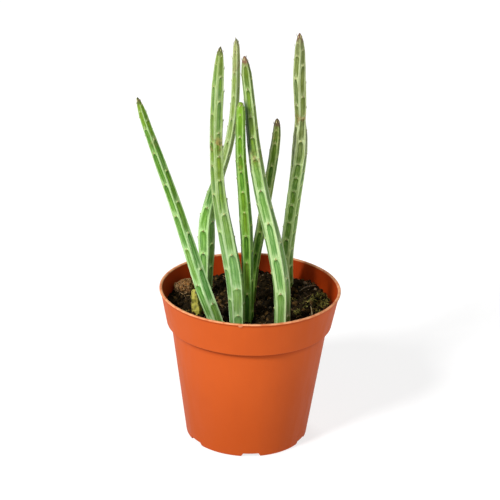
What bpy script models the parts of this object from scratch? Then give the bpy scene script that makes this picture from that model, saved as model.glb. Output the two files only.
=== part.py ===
# Potted pickle plant: seven ribbed, toothed stems, a withered stub and a lump of
# fibre in peat soil, in a small round nursery pot with a banded rim.
# Sizes below are in millimetres; the model is in metres, +Z up, and its origin is
# the centre of the pot's flat underside. -Y is the side that faces the viewer.
import math

import bmesh
import bpy
from mathutils import Matrix, Vector, noise

MM = 0.001
FIT_GAP = 0.3                 # clearance between pieces that touch
MERGE = 0.01                  # points closer than this are one
SHARP_ANGLE = 35              # edges that turn by more degrees look crisp

# Pot
POT_HEIGHT = 92.0
RIM_RADIUS = 52.5
POT_WALL = 1.2
LIP_HEIGHT = 1.9              # rounded bead along the rim
LIP_PROUD = 0.4
BAND_DROP = 21.3              # height of the wide band under the rim
BAND_FOOT_RADIUS = 47.9
BODY_TOP_RADIUS = 45.5
BASE_RADIUS = 35.6
BASE_ROUNDING = 1.0
FLOOR_FILLET = 1.5            # slope between the floor and the wall, inside
LEDGE_SLOPE = 0.4             # half the height of the sloping ledge inside the band
EDGE_CHAMFER = 0.5
POT_SEGMENTS = 60

# Drain openings, cut through wall and floor at the edge of the base
DRAIN_COUNT = 6
DRAIN_FIRST_ANGLE = 5.0       # degrees from the viewer's side
DRAIN_HEIGHT = 2.3
DRAIN_WIDTH_TOP = 9.0
DRAIN_WIDTH_FOOT = 14.5
DRAIN_REACH_IN = 7.0
DRAIN_REACH_OUT = 4.0

# Soil
SOIL_LEVEL = 80.0
SOIL_LUMPS = 1.9              # height of the small unevenness
SOIL_LUMP_SPACING = 8.0
SOIL_SEGMENTS = 44
SOIL_TOP_RINGS = 9
SOIL_FOOT_SLOPE = 2.0         # the soil's lower edge slopes clear of the pot's fillet
SOIL_MOUNDS = [               # x, y, height, radius of broad rises and hollows
    (-37, 19, 3.0, 11),
    (31, 27, 2.6, 10),
    (0, 42, 2.2, 14),
    (46, 6, -3.4, 9),
    (-44, -8, -1.6, 9),
]

# Stems
RIBS = 5                      # pale ribs round a stem, with a column of leaf scars between
LEAF_STEP_ROUND = 0.4         # next column's leaves sit this share of a leaf spacing higher
STEM_DEPTH = 14.0             # depth of a stem's foot below the soil
ROOT_LEAN = 0.35              # below the soil a stem keeps this share of its lean
HOLE_FLARE = 1.0              # how much wider a stem's hole gets from its foot upwards
HOLE_ROOM = 1.09              # a hole's radius at its foot, as a share of the stem's
HOLE_ABOVE = 9.0              # how far the bar that cuts it runs on above the soil
HOLE_SIDES = 20
RIB_PLACES = (0.0, 0.14, 0.5, 0.86)         # columns of points between one rib and the next
SECTION = (1.06, 0.935, 0.89, 0.935)        # radius there, as a share of the stem's radius
LEAF_ROWS = (0.0, 0.11, 0.55)               # rows of points between one leaf and the next
ROW_SWELLING = (1.0, 0.0, 0.45)             # share of a panel's swelling in those rows
SWELLING = (0.0, 0.045, 0.08, 0.045)        # how far a panel swells under its leaf
LEAF_TOOTH = 0.12                           # the leaf itself, a short tooth on the panel
LEAF_ROW = 0
LEAF_PLACE = 2                              # the tooth's row and column of points
SMALLEST_STEP = 0.35                        # share of a leaf spacing left out at either end
ROUTE_PIECES = 12                           # straight pieces between two points of a route

# A stem's route starts where it leaves the soil. The other three lists pair a distance
# below the tip with a value there: the stem's radius, the leaf spacings counted so far,
# and the angle of a rib from the viewer's side.
STEMS = {
    "stem_left": {
        "route": [(-17.5, -30.5, 80), (-27, -28.5, 105), (-35.5, -26.5, 130), (-44, -24.5, 155),
                  (-53.2, -22.5, 180), (-59.1, -21.2, 196), (-64.1, -20, 211)],
        "girth": [(0, 0.3), (2.5, 1.1), (5, 1.7), (10, 2.3), (20, 2.55), (40, 3.05), (58, 3.3),
                  (80, 3.6), (98, 3.95), (115, 4.25), (135, 4.3), (150, 4.1)],
        "leaves": [(0, -0.2), (5, 0.9), (13.4, 1.8), (24, 2.8), (80, 5.8), (123.5, 7.8), (178.5, 10.3)],
        "turn": [(0, 12), (60, 8), (100, 5), (135, -6)],
    },
    "stem_centre_left": {
        "route": [(-6.5, -28.5, 80), (-8.5, -25, 105), (-13.5, -21, 130), (-18.5, -17.5, 155),
                  (-20.5, -13.5, 180), (-20.7, -10, 205), (-19.8, -5, 236.4)],
        "girth": [(0, 0.3), (2.5, 1.3), (5, 2.0), (10, 2.65), (20, 3.35), (32, 3.6), (65, 3.75),
                  (94, 4.3), (123, 4.8), (140, 4.7), (155, 4.4), (180, 3.8)],
        "leaves": [(0, -0.3), (5, 0.8), (16, 1.8), (29.3, 2.8), (47, 3.8), (73.2, 5.8), (92.3, 6.8),
                   (116, 7.8), (136, 8.8), (151.3, 9.8), (180, 11.3)],
        "turn": [(0, -10), (40, -18), (65, -17), (150, -28)],
    },
    "stem_back": {
        "route": [(-26.5, 16, 80), (-26.3, 15.2, 105), (-26.4, 14.4, 125), (-23.8, 13.8, 141),
                  (-19, 13.2, 157), (-14.6, 12.6, 174), (-12, 11.8, 193), (-11.3, 11, 213),
                  (-11.5, 10, 237)],
        "girth": [(0, 0.3), (2, 1.2), (5, 1.85), (10, 2.15), (25, 2.4), (55, 2.65), (82, 3.0),
                  (98, 3.7), (110, 4.5), (120, 5.1), (128, 4.9), (142, 4.4), (160, 3.9), (180, 3.6)],
        "leaves": [(0, -0.4), (4, 0.8), (13, 1.8), (102, 8.2), (130.5, 10.2), (180, 13.6)],
        "turn": [(0, 17)],
    },
    "stem_centre": {
        "route": [(-1, -18.5, 80), (-1.6, -18.3, 105), (-2.8, -18, 130), (-5, -17.6, 155),
                  (-7.3, -17, 179), (-8, -16.5, 208.8)],
        "girth": [(0, 0.6), (1.2, 1.5), (3.5, 2.2), (8, 2.6), (22, 2.85), (40, 3.1), (60, 3.45),
                  (72, 3.7), (84, 3.5), (100, 3.35), (150, 3.45)],
        "leaves": [(0, -0.6), (2.5, 0.0), (6.5, 0.8), (19.2, 1.8), (30, 2.8), (38.8, 3.8), (62.5, 5.8),
                   (76.5, 6.8), (92.5, 7.8), (111.5, 8.8), (148, 10.7)],
        "turn": [(0, -40)],
    },
    "stem_centre_right": {
        "route": [(18.5, -28.5, 80), (17.3, -24.5, 105), (12, -20.5, 130), (5, -16, 155.5),
                  (0, -12, 181), (-3.2, -8.5, 206.4), (-6.7, -5, 231.5)],
        "girth": [(0, 0.4), (2, 1.4), (5, 2.15), (10, 2.85), (27, 3.1), (45, 3.5), (60, 3.95),
                  (89, 4.3), (118, 4.9), (150, 4.6), (180, 4.4)],
        "leaves": [(0, -0.3), (5, 0.8), (17.8, 1.8), (33, 2.8), (56.2, 4.8), (74.5, 5.8), (93.3, 6.8),
                   (114, 7.8), (134.5, 8.8), (178, 10.8)],
        "turn": [(0, -39), (100, -39), (120, -45)],
    },
    "stem_slim": {
        "route": [(0.5, 2, 80), (2, 1.5, 105), (5.5, 1.5, 130), (9, 1.5, 155), (12, 2, 180),
                  (12.5, 2, 194)],
        "girth": [(0, 0.4), (2, 1.4), (5, 1.95), (10, 2.4), (20, 2.8), (60, 2.95), (90, 2.8),
                  (113, 2.65), (140, 2.65)],
        "leaves": [(0, -0.2), (5, 1.0), (13.8, 2.2), (27, 3.2), (139, 11.5)],
        "turn": [(0, 30)],
    },
    "stem_right": {
        "route": [(21.5, 25.5, 80), (20.7, 23.3, 103), (22.7, 20.8, 129), (25.6, 17.8, 161),
                  (26.2, 16, 180), (25.4, 14, 200), (24.3, 12.5, 216), (23.4, 10, 241.2)],
        "girth": [(0, 0.3), (2, 1.2), (5, 2.15), (10, 2.9), (20, 3.45), (30, 3.65), (42, 3.5),
                  (51, 3.15), (56, 3.4), (62, 4.1), (72, 4.5), (95, 4.1), (180, 4.0)],
        "leaves": [(0, -0.8), (4, 0.0), (9.3, 0.8), (17.8, 1.8), (36.8, 2.8), (49.6, 3.8), (63.4, 4.8),
                   (78, 5.8), (104.4, 8.8), (126.8, 10.8), (180, 15.5)],
        "turn": [(0, 10), (12, 8), (28, -8), (48, -10), (60, -30), (90, -45), (130, -50)],
    },
    "withered_stub": {
        "route": [(-30, -14.5, 80), (-31, -13.5, 88), (-32, -12.5, 95)],
        "girth": [(0, 0.8), (1.5, 1.9), (5, 2.6), (12, 2.9), (40, 2.9)],
        "leaves": [(0, 0), (24, 4.5)],
        "turn": [(0, 30)],
    },
}
STUB_DEPTH = 9.0

# Lump of coir fibre that lies on the soil by the left wall
LUMP_CENTRE = (-38.5, 15.5, 84.5)
LUMP_RADII = (5.4, 5.8, 3.8)
LUMP_ROUGHNESS = 0.24         # as a share of its radii
LUMP_GRAIN = 2.2              # how closely its bumps follow each other

COLOURS = {                   # base colour, roughness
    "pot_plastic": ((0.60, 0.14, 0.045, 1), 0.42),
    "peat": ((0.022, 0.014, 0.009, 1), 0.95),
    "green_stem": ((0.16, 0.33, 0.07, 1), 0.5),
    "withered_stem": ((0.38, 0.36, 0.08, 1), 0.65),
    "coir": ((0.26, 0.13, 0.05, 1), 0.95),
}


def clear_scene():
    for item in list(bpy.data.objects):
        bpy.data.objects.remove(item, do_unlink=True)


def new_collection(name):
    collection = bpy.data.collections.new(name)
    bpy.context.scene.collection.children.link(collection)
    return collection


def material(name):
    colour, roughness = COLOURS[name]
    made = bpy.data.materials.new(name)
    made.use_nodes = True
    shader = made.node_tree.nodes["Principled BSDF"]
    shader.inputs["Base Color"].default_value = colour
    shader.inputs["Roughness"].default_value = roughness
    shader.inputs["Metallic"].default_value = 0.0
    return made


def object_from(bm, name, collection, finish=None):
    """Closes the bmesh into a mesh object with smooth sides and crisp corners."""
    mesh = bpy.data.meshes.new(name)
    bm.to_mesh(mesh)
    bm.free()
    mesh.shade_smooth()
    mesh.set_sharp_from_angle(angle=math.radians(SHARP_ANGLE))
    if finish:
        mesh.materials.append(finish)
    made = bpy.data.objects.new(name, mesh)
    collection.objects.link(made)
    return made


def make_cutter(made):
    made.hide_render = True
    made.display_type = "WIRE"


def cut_with(target, cutter_collection):
    cut = target.modifiers.new("cut " + cutter_collection.name, "BOOLEAN")
    cut.operation = "DIFFERENCE"
    cut.operand_type = "COLLECTION"
    cut.collection = cutter_collection


def arc(centre_r, centre_z, radius, start, stop, steps):
    """Points (r, z) of a round stretch of a turned profile; angles in degrees."""
    points = []
    for step in range(steps + 1):
        angle = math.radians(start + (stop - start) * step / steps)
        points.append((centre_r + radius * math.cos(angle), centre_z + radius * math.sin(angle)))
    return points


def band_radius(height):
    """Outer radius of the band under the rim at a height."""
    share = (height - (POT_HEIGHT - BAND_DROP)) / BAND_DROP
    return BAND_FOOT_RADIUS + (RIM_RADIUS - LIP_PROUD - BAND_FOOT_RADIUS) * share


def body_radius(height):
    """Outer radius of the pot's body, below the band."""
    return BASE_RADIUS + (BODY_TOP_RADIUS - BASE_RADIUS) * height / (POT_HEIGHT - BAND_DROP)


def pot_profile():
    """Section of the pot, from the floor's inner face over the lip to its underside."""
    band_foot = POT_HEIGHT - BAND_DROP
    lip_radius = (LIP_PROUD + POT_WALL) / 2
    lip_centre = RIM_RADIUS - lip_radius
    lip_foot = POT_HEIGHT - LIP_HEIGHT
    ledge = band_foot + POT_WALL
    inside = [
        (0, POT_WALL),
        (body_radius(POT_WALL) - POT_WALL - FLOOR_FILLET, POT_WALL),
        (body_radius(POT_WALL + FLOOR_FILLET) - POT_WALL, POT_WALL + FLOOR_FILLET),
        (BODY_TOP_RADIUS - POT_WALL, ledge - LEDGE_SLOPE),
        (band_radius(ledge) - POT_WALL, ledge + LEDGE_SLOPE),
        (lip_centre - lip_radius, POT_HEIGHT - lip_radius),
    ]
    lip = arc(lip_centre, POT_HEIGHT - lip_radius, lip_radius, 150, 0, 5)
    outside = [
        (RIM_RADIUS, lip_foot + EDGE_CHAMFER),
        (band_radius(lip_foot), lip_foot),
        (band_radius(band_foot + EDGE_CHAMFER), band_foot + EDGE_CHAMFER),
        (BAND_FOOT_RADIUS - EDGE_CHAMFER, band_foot),
        (BODY_TOP_RADIUS, band_foot),
    ]
    foot = arc(body_radius(0) - BASE_ROUNDING, BASE_ROUNDING, BASE_ROUNDING, 0, -90, 3)
    return inside + lip + outside + foot + [(0, 0)]


def make_pot(collection, cutters, finish):
    """The pot, turned from its section, with drain openings cut from its foot."""
    bm = bmesh.new()
    corners = [bm.verts.new((r * MM, 0, z * MM)) for r, z in pot_profile()]
    for first, second in zip(corners, corners[1:]):
        bm.edges.new((first, second))
    pot = object_from(bm, "pot", collection, finish)
    turn = pot.modifiers.new("turn", "SCREW")
    turn.steps = POT_SEGMENTS
    turn.render_steps = POT_SEGMENTS
    turn.use_merge_vertices = True
    turn.merge_threshold = MERGE * MM
    for number in range(DRAIN_COUNT):
        angle = DRAIN_FIRST_ANGLE + number * 360 / DRAIN_COUNT
        make_drain_cutter(number, math.radians(angle - 90), cutters)
    cut_with(pot, cutters)


def make_drain_cutter(number, angle, collection):
    """A bar with sloping ends that cuts one drain opening out of the base's edge."""
    middle = BASE_RADIUS + (DRAIN_REACH_OUT - DRAIN_REACH_IN) / 2
    size = Vector((DRAIN_REACH_IN + DRAIN_REACH_OUT, DRAIN_WIDTH_FOOT, 2 * DRAIN_HEIGHT))
    bm = bmesh.new()
    bmesh.ops.create_cube(bm, size=1.0)
    bmesh.ops.scale(bm, vec=size * MM, verts=bm.verts)
    narrowing = DRAIN_WIDTH_TOP / DRAIN_WIDTH_FOOT
    for corner in bm.verts:
        if corner.co.z > 0:
            corner.co.y *= narrowing
    bmesh.ops.translate(bm, vec=(middle * MM, 0, 0), verts=bm.verts)
    cutter = object_from(bm, f"drain_cutter_{number}", collection)
    cutter.rotation_euler.z = angle
    make_cutter(cutter)


def soil_height(x, y):
    """Height of the soil's uneven top at a place, all in millimetres."""
    height = SOIL_LEVEL
    height += SOIL_LUMPS * noise.noise(Vector((x, y, 20)) / SOIL_LUMP_SPACING)
    for mound_x, mound_y, rise, radius in SOIL_MOUNDS:
        apart = ((x - mound_x) ** 2 + (y - mound_y) ** 2) / radius ** 2
        height += rise * math.exp(-apart)
    return height


def make_soil(collection, cutters, finish):
    """The soil fills the pot up to its uneven top, with plain holes for the stems."""
    ledge = POT_HEIGHT - BAND_DROP + POT_WALL
    clear = POT_WALL + FIT_GAP
    foot = POT_WALL + FIT_GAP
    top_radius = band_radius(SOIL_LEVEL) - clear
    bm = bmesh.new()
    section = [(top_radius * ring / SOIL_TOP_RINGS, SOIL_LEVEL) for ring in range(SOIL_TOP_RINGS + 1)]
    section += [
        (band_radius(ledge + 2 * LEDGE_SLOPE) - clear, ledge + 2 * LEDGE_SLOPE),
        (BODY_TOP_RADIUS - clear, ledge),
        (body_radius(foot + SOIL_FOOT_SLOPE) - clear, foot + SOIL_FOOT_SLOPE),
        (body_radius(foot + SOIL_FOOT_SLOPE) - clear - SOIL_FOOT_SLOPE, foot),
        (0, foot),
    ]
    corners = [bm.verts.new((r * MM, 0, z * MM)) for r, z in section]
    outline = [bm.edges.new(pair) for pair in zip(corners, corners[1:])]
    bmesh.ops.spin(bm, geom=corners + outline, cent=(0, 0, 0), axis=(0, 0, 1),
                   angle=2 * math.pi, steps=SOIL_SEGMENTS, use_merge=True)
    bmesh.ops.remove_doubles(bm, verts=bm.verts, dist=MERGE * MM)
    bmesh.ops.recalc_face_normals(bm, faces=bm.faces)
    for point in bm.verts:
        x, y, z = point.co / MM
        if z > SOIL_LEVEL - FIT_GAP:
            height = soil_height(x, y)
            squeeze = min(band_radius(height) / band_radius(SOIL_LEVEL), 1)
            point.co = Vector((x * squeeze, y * squeeze, height)) * MM
    soil = object_from(bm, "soil", collection, finish)
    cut_with(soil, cutters)


def smooth_route(points):
    """Closely spaced points on a smooth (Catmull-Rom) curve through the given ones."""
    points = [Vector(point) for point in points]
    ends = [2 * points[0] - points[1]] + points + [2 * points[-1] - points[-2]]
    route = []
    for before, start, stop, after in zip(ends, ends[1:], ends[2:], ends[3:]):
        for piece in range(ROUTE_PIECES):
            t = piece / ROUTE_PIECES
            bend = 2 * before - 5 * start + 4 * stop - after
            twist = 3 * start - before - 3 * stop + after
            route.append((2 * start + (stop - before) * t + bend * t ** 2 + twist * t ** 3) / 2)
    route.append(points[-1])
    return route


def along(route, distance):
    """Place and direction at a distance along a route."""
    for start, stop in zip(route, route[1:]):
        length = (stop - start).length
        if distance <= length or stop is route[-1]:
            return start.lerp(stop, distance / length), (stop - start).normalized()
        distance -= length


def read_off(pairs, value):
    """The second number of such pairs where the first one has this value."""
    for (near, first), (far, second) in zip(pairs, pairs[1:]):
        if value <= far:
            return first + (second - first) * (value - near) / (far - near)
    return pairs[-1][1]


def foot_of(stem, depth):
    """The stem's lower end, which stands more upright in the soil than the stem above."""
    soil_point, next_point = (Vector(point) for point in stem["route"][:2])
    lean = (next_point - soil_point) / (next_point.z - soil_point.z)
    return soil_point - Vector((lean.x * ROOT_LEAN, lean.y * ROOT_LEAN, 1)) * depth


def make_stem(name, stem, depth, collection, finish):
    """A ribbed stem: a rolled-up grid whose rows follow the leaves of each column."""
    route = smooth_route([foot_of(stem, depth)] + stem["route"])
    length = sum((stop - start).length for start, stop in zip(route, route[1:]))
    tip_count = stem["leaves"][0][1]
    foot_count = read_off(stem["leaves"], length)
    distances = [(count, distance) for distance, count in stem["leaves"]]
    columns = RIBS * len(RIB_PLACES)
    lowest = math.ceil(foot_count + RIBS * LEAF_STEP_ROUND)
    rows = math.ceil(lowest - tip_count) * len(LEAF_ROWS)
    bm = bmesh.new()
    bmesh.ops.create_grid(bm, x_segments=columns, y_segments=rows, size=0.5)
    for point in bm.verts:
        column = round((point.co.x + 0.5) * columns)
        row = round((point.co.y + 0.5) * rows)
        sector, place = divmod(column, len(RIB_PLACES))
        leaf, part = divmod(row, len(LEAF_ROWS))
        lift = sector + 0.5 if place else sector
        count = lowest - leaf - LEAF_ROWS[part] - lift * LEAF_STEP_ROUND
        shape = SECTION[place] + SWELLING[place] * ROW_SWELLING[part]
        if part == LEAF_ROW and place == LEAF_PLACE:
            shape += LEAF_TOOTH
        if count < tip_count + SMALLEST_STEP:
            from_tip = 0.0
            shape = 0.0
        elif count > foot_count - SMALLEST_STEP:
            from_tip = length
            shape = SECTION[place]
        else:
            from_tip = read_off(distances, count)
        turn = math.radians(read_off(stem["turn"], from_tip))
        angle = (sector + RIB_PLACES[place]) * 2 * math.pi / RIBS + turn
        radius = shape * read_off(stem["girth"], from_tip)
        point.co = stem_point(route, length - from_tip, angle, radius)
    bmesh.ops.remove_doubles(bm, verts=bm.verts, dist=MERGE * MM)
    bmesh.ops.holes_fill(bm, edges=[edge for edge in bm.edges if edge.is_boundary], sides=0)
    bmesh.ops.recalc_face_normals(bm, faces=bm.faces)
    object_from(bm, name, collection, finish)


def stem_point(route, distance, angle, radius):
    """A point on a stem's skin, in metres; the angle is from the viewer's side."""
    centre, upward = along(route, distance)
    sideways = (Vector((1, 0, 0)) - upward * upward.x).normalized()
    backward = upward.cross(sideways)
    return (centre + radius * (math.sin(angle) * sideways - math.cos(angle) * backward)) * MM


def make_hole_cutter(name, stem, depth, collection):
    """A plain round bar, a little wider than the stem, for its hole in the soil."""
    soil_point = Vector(stem["route"][0])
    foot = foot_of(stem, depth)
    upward = (soil_point - foot).normalized()
    radius = stem["girth"][-1][1] * HOLE_ROOM + FIT_GAP
    below = (soil_point - foot).length + FIT_GAP
    middle = soil_point + upward * (HOLE_ABOVE - below) / 2
    bm = bmesh.new()
    turned = Matrix.Translation(middle * MM) @ upward.to_track_quat("Z", "Y").to_matrix().to_4x4()
    bmesh.ops.create_cone(bm, cap_ends=True, segments=HOLE_SIDES, radius1=radius * MM,
                          radius2=(radius + HOLE_FLARE) * MM, depth=(HOLE_ABOVE + below) * MM,
                          matrix=turned)
    make_cutter(object_from(bm, name + "_hole", collection))


def make_lump(name, swell, collection, finish=None):
    """The fibre lump, or with some swell the hollow that it lies in."""
    bm = bmesh.new()
    bmesh.ops.create_icosphere(bm, subdivisions=3, radius=1.0)
    for point in bm.verts:
        rough = 1 + LUMP_ROUGHNESS * noise.noise(point.co * LUMP_GRAIN)
        place = [centre + direction * (radius * rough + swell)
                 for centre, direction, radius in zip(LUMP_CENTRE, point.co, LUMP_RADII)]
        point.co = Vector(place) * MM
    return object_from(bm, name, collection, finish)


def main():
    clear_scene()
    plant = new_collection("potted_pickle_plant")
    cutters = new_collection("cutters")
    drain_cutters = bpy.data.collections.new("drain_cutters")
    soil_cutters = bpy.data.collections.new("soil_cutters")
    cutters.children.link(drain_cutters)
    cutters.children.link(soil_cutters)

    finishes = {name: material(name) for name in COLOURS}
    make_pot(plant, drain_cutters, finishes["pot_plastic"])
    for name, stem in STEMS.items():
        withered = name == "withered_stub"
        depth = STUB_DEPTH if withered else STEM_DEPTH
        make_stem(name, stem, depth, plant, finishes["withered_stem" if withered else "green_stem"])
        make_hole_cutter(name, stem, depth, soil_cutters)
    make_lump("fibre_lump", 0.0, plant, finishes["coir"])
    make_cutter(make_lump("fibre_hollow", FIT_GAP, soil_cutters))
    make_soil(plant, soil_cutters, finishes["peat"])


main()
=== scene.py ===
# %% [markdown]
# # A potted pickle plant
# A pickle plant is a succulent with upright green stems and almost no leaves. This one
# stands in a small round nursery pot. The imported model, called the frame, has every
# piece at its real size and in its place, but plain. This script puts a finer piece
# over each plain one, gives it a finish, and adds what a plain model leaves out, such
# as crumbs of peat, fibres, moss and dried leaves. Lengths are in millimetres until a
# mesh is made, because a plant this small is easier to think about that way.

# %% Load the frame
import math
import random

import bmesh
import bpy
from mathutils import Matrix, Quaternion, Vector, noise


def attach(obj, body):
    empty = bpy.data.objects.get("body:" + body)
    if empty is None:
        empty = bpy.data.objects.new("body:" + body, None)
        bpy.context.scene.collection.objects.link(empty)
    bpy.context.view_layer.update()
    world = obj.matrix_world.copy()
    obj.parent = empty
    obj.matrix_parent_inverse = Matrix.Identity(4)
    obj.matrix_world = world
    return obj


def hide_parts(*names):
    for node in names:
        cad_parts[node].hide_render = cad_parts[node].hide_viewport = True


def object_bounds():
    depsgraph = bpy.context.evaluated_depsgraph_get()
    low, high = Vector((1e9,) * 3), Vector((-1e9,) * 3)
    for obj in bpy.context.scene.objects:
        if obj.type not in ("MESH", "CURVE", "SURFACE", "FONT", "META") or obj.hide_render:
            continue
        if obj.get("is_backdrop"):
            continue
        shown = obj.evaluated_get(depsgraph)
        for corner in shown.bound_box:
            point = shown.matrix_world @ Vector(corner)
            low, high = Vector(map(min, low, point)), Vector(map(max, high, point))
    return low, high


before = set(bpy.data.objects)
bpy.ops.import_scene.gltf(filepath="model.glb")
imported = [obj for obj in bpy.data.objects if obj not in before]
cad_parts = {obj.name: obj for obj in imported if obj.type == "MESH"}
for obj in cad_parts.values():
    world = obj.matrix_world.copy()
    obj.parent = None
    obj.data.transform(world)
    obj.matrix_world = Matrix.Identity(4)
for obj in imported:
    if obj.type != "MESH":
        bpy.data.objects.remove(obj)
cad_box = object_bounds()
MM = 0.001
scene = bpy.context.scene


def put_in_scene(name, data):
    """An object in the scene that holds this mesh, lamp or camera."""
    made = bpy.data.objects.new(name, data)
    scene.collection.objects.link(made)
    return made


print("nodes:", ", ".join(sorted(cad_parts)))

# %% [markdown]
# ## Camera
# The pot's rim and base are circles, so their two ellipses in a photograph tell how far
# the camera looks down and how long its lens is. The camera stands a metre from a point
# in the middle of the plant, looks down by 22 degrees, and leans by a degree and a half.
# A plain Track To constraint could aim it, but it couldn't lean, so the turn is worked
# out here with quaternions.

# %% Camera
VIEW_DISTANCE = 1.0
VIEW_DOWN = 22.06
VIEW_LEAN = 1.60
VIEW_TARGET = Vector((0, 0, 0.120))
LENS = 125.8
FRAME_SHIFT = (-0.0028, -0.0161)

lens = bpy.data.cameras.new("camera")
lens.lens = LENS
lens.sensor_width = 36
lens.shift_x, lens.shift_y = FRAME_SHIFT
lens.clip_start = 0.01
camera = put_in_scene("camera", lens)
look_down = Quaternion((1, 0, 0), math.radians(90 - VIEW_DOWN))
lean = Quaternion((0, 0, 1), math.radians(VIEW_LEAN))
camera.rotation_mode = "QUATERNION"
camera.rotation_quaternion = look_down @ lean
backwards = look_down @ Vector((0, 0, 1))
camera.location = VIEW_TARGET + backwards * VIEW_DISTANCE
scene.camera = camera
print("camera at", [round(value, 3) for value in camera.location])

# %% [markdown]
# ## Light and room
# The plant was lit by a large soft lamp from the front left, in a white room. Three area
# lamps do that here: a strong one, a wide weak one that fills the shadows, and one from
# above and behind that draws a thin bright edge on the rim. A sun lamp would be simpler,
# but its shadows are too hard for a studio. The room is bright at the walls, so that a low
# view has a pale background, and faint at the ceiling, to keep the shadows.

# %% Light and room
LAMPS = {
    "key_lamp": {"place": (-2.6, -2.9, 3.2), "size": 1.0, "power": 250},
    "fill_lamp": {"place": (1.2, -3.2, 1.8), "size": 2.4, "power": 26},
    "back_lamp": {"place": (-0.8, 2.4, 2.8), "size": 1.6, "power": 40},
}
WALLS_UP_TO = 0.10
CEILING_FROM = 0.20
WALLS_BRIGHT = 1.0
CEILING_BRIGHT = 0.07


def add_lamp(name, place, size, power):
    lamp = bpy.data.lights.new(name, "AREA")
    lamp.shape = "DISK"
    lamp.size = size
    lamp.energy = power
    holder = put_in_scene(name, lamp)
    holder.location = place
    holder.rotation_mode = "QUATERNION"
    holder.rotation_quaternion = (VIEW_TARGET - Vector(place)).to_track_quat("-Z", "Y")


for name, lamp in LAMPS.items():
    add_lamp(name, **lamp)

room = bpy.data.worlds.new("white_room")
room.use_nodes = True
room_tree = room.node_tree
background = room_tree.nodes["Background"]
background.inputs["Color"].default_value = (1, 1, 1, 1)
direction = room_tree.nodes.new("ShaderNodeTexCoord")
direction_parts = room_tree.nodes.new("ShaderNodeSeparateXYZ")
fade = room_tree.nodes.new("ShaderNodeMapRange")
fade_ends = (WALLS_UP_TO, CEILING_FROM, WALLS_BRIGHT, CEILING_BRIGHT)
for number, value in enumerate(fade_ends, start=1):
    fade.inputs[number].default_value = value
room_tree.links.new(direction.outputs["Generated"], direction_parts.inputs[0])
room_tree.links.new(direction_parts.outputs["Z"], fade.inputs[0])
room_tree.links.new(fade.outputs[0], background.inputs["Strength"])
scene.world = room
scene.view_settings.view_transform = "Standard"
print(len(LAMPS), "lamps and a room")

# %% [markdown]
# ## Colours and recipes
# A finish is a small program made of shader nodes. Written out in full it takes many
# lines, so a helper called Recipe writes them: each of its methods adds one node or a few
# and returns the socket with the result, and the results are passed on like numbers.
# Colours are given as they look in a photograph, 0 to 255, and turned into the linear
# values that Blender computes with.

# %% Recipe helper
def photo_colour(red, green, blue):
    """A colour as a photograph shows it, 0 to 255, made linear."""
    parts = [((value / 255 + 0.055) / 1.055) ** 2.4 for value in (red, green, blue)]
    return (*parts, 1.0)


class Recipe:
    """Writes the nodes of one finish."""

    def __init__(self, name):
        self.material = bpy.data.materials.new(name)
        self.material.use_nodes = True
        self.tree = self.material.node_tree
        self.shader = self.tree.nodes["Principled BSDF"]
        self.place = self.node("TexCoord").outputs["Object"]

    def node(self, kind, inputs=None, **settings):
        made = self.tree.nodes.new("ShaderNode" + kind)
        for setting, value in settings.items():
            setattr(made, setting, value)
        for key, value in (inputs or {}).items():
            self.feed(made.inputs[key], value)
        return made

    def feed(self, socket, value):
        if isinstance(value, bpy.types.NodeSocket):
            self.tree.links.new(value, socket)
        else:
            socket.default_value = value

    def math(self, operation, *values):
        inputs = dict(enumerate(values))
        return self.node("Math", inputs, operation=operation).outputs[0]

    def times(self, first, second):
        return self.math("MULTIPLY", first, second)

    def away(self, value, middle):
        """How far a value is from a middle one, on either side."""
        return self.math("ABSOLUTE", self.math("SUBTRACT", value, middle))

    def ease(self, value, low, high, to_low=0.0, to_high=1.0):
        """Goes smoothly from one number to another as the value passes from low to high."""
        inputs = {0: value, 1: low, 2: high, 3: to_low, 4: to_high}
        return self.node("MapRange", inputs, interpolation_type="SMOOTHSTEP").outputs[0]

    def ease_mm(self, value, low, high, to_low=0.0, to_high=1.0):
        """The same for a length, with low and high in millimetres."""
        return self.ease(value, low * MM, high * MM, to_low, to_high)

    def mix(self, share, first, second):
        """Goes from one colour to another; each is a socket or a photo colour."""
        first, second = (photo_colour(*colour) if isinstance(colour, tuple) else colour
                         for colour in (first, second))
        return self.node("Mix", {0: share, 6: first, 7: second}, data_type="RGBA").outputs[2]

    def noise(self, where, scale, detail=2.0):
        return self.node("TexNoise", {"Vector": where, "Scale": scale, "Detail": detail}).outputs[0]

    def spots(self, where, scale, smallest, largest):
        """Small round spots: 1 in their middle, 0 between them."""
        cells = self.node("TexVoronoi", {"Vector": where, "Scale": scale})
        return self.ease(cells.outputs["Distance"], smallest, largest, 1.0, 0.0)

    def distance(self, centre):
        """How far a point is from a place that is given in millimetres."""
        inputs = {0: self.place, 1: centre * MM}
        return self.node("VectorMath", inputs, operation="DISTANCE").outputs["Value"]

    def stretched(self, where, sizes):
        return self.node("Mapping", {"Vector": where, "Scale": sizes}).outputs[0]

    def joined(self, *parts):
        return self.node("CombineXYZ", dict(enumerate(parts))).outputs[0]

    def apart(self, where):
        return self.node("SeparateXYZ", {0: where}).outputs

    def attribute(self, name):
        return self.node("Attribute", attribute_name=name).outputs["Fac"]

    def finish(self, colour, roughness, height, depth, **sockets):
        """Feeds the shader: depth is the bump's height in millimetres."""
        bump = self.node("Bump", {"Height": height, "Distance": depth * MM, "Strength": 1.0})
        self.feed(self.shader.inputs["Base Color"], colour)
        self.feed(self.shader.inputs["Roughness"], roughness)
        self.feed(self.shader.inputs["Normal"], bump.outputs[0])
        for name, value in sockets.items():
            self.shader.inputs[name.replace("_", " ")].default_value = value
        return self.material


print("a pot orange, made linear:", [round(value, 3) for value in photo_colour(214, 96, 46)])

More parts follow.
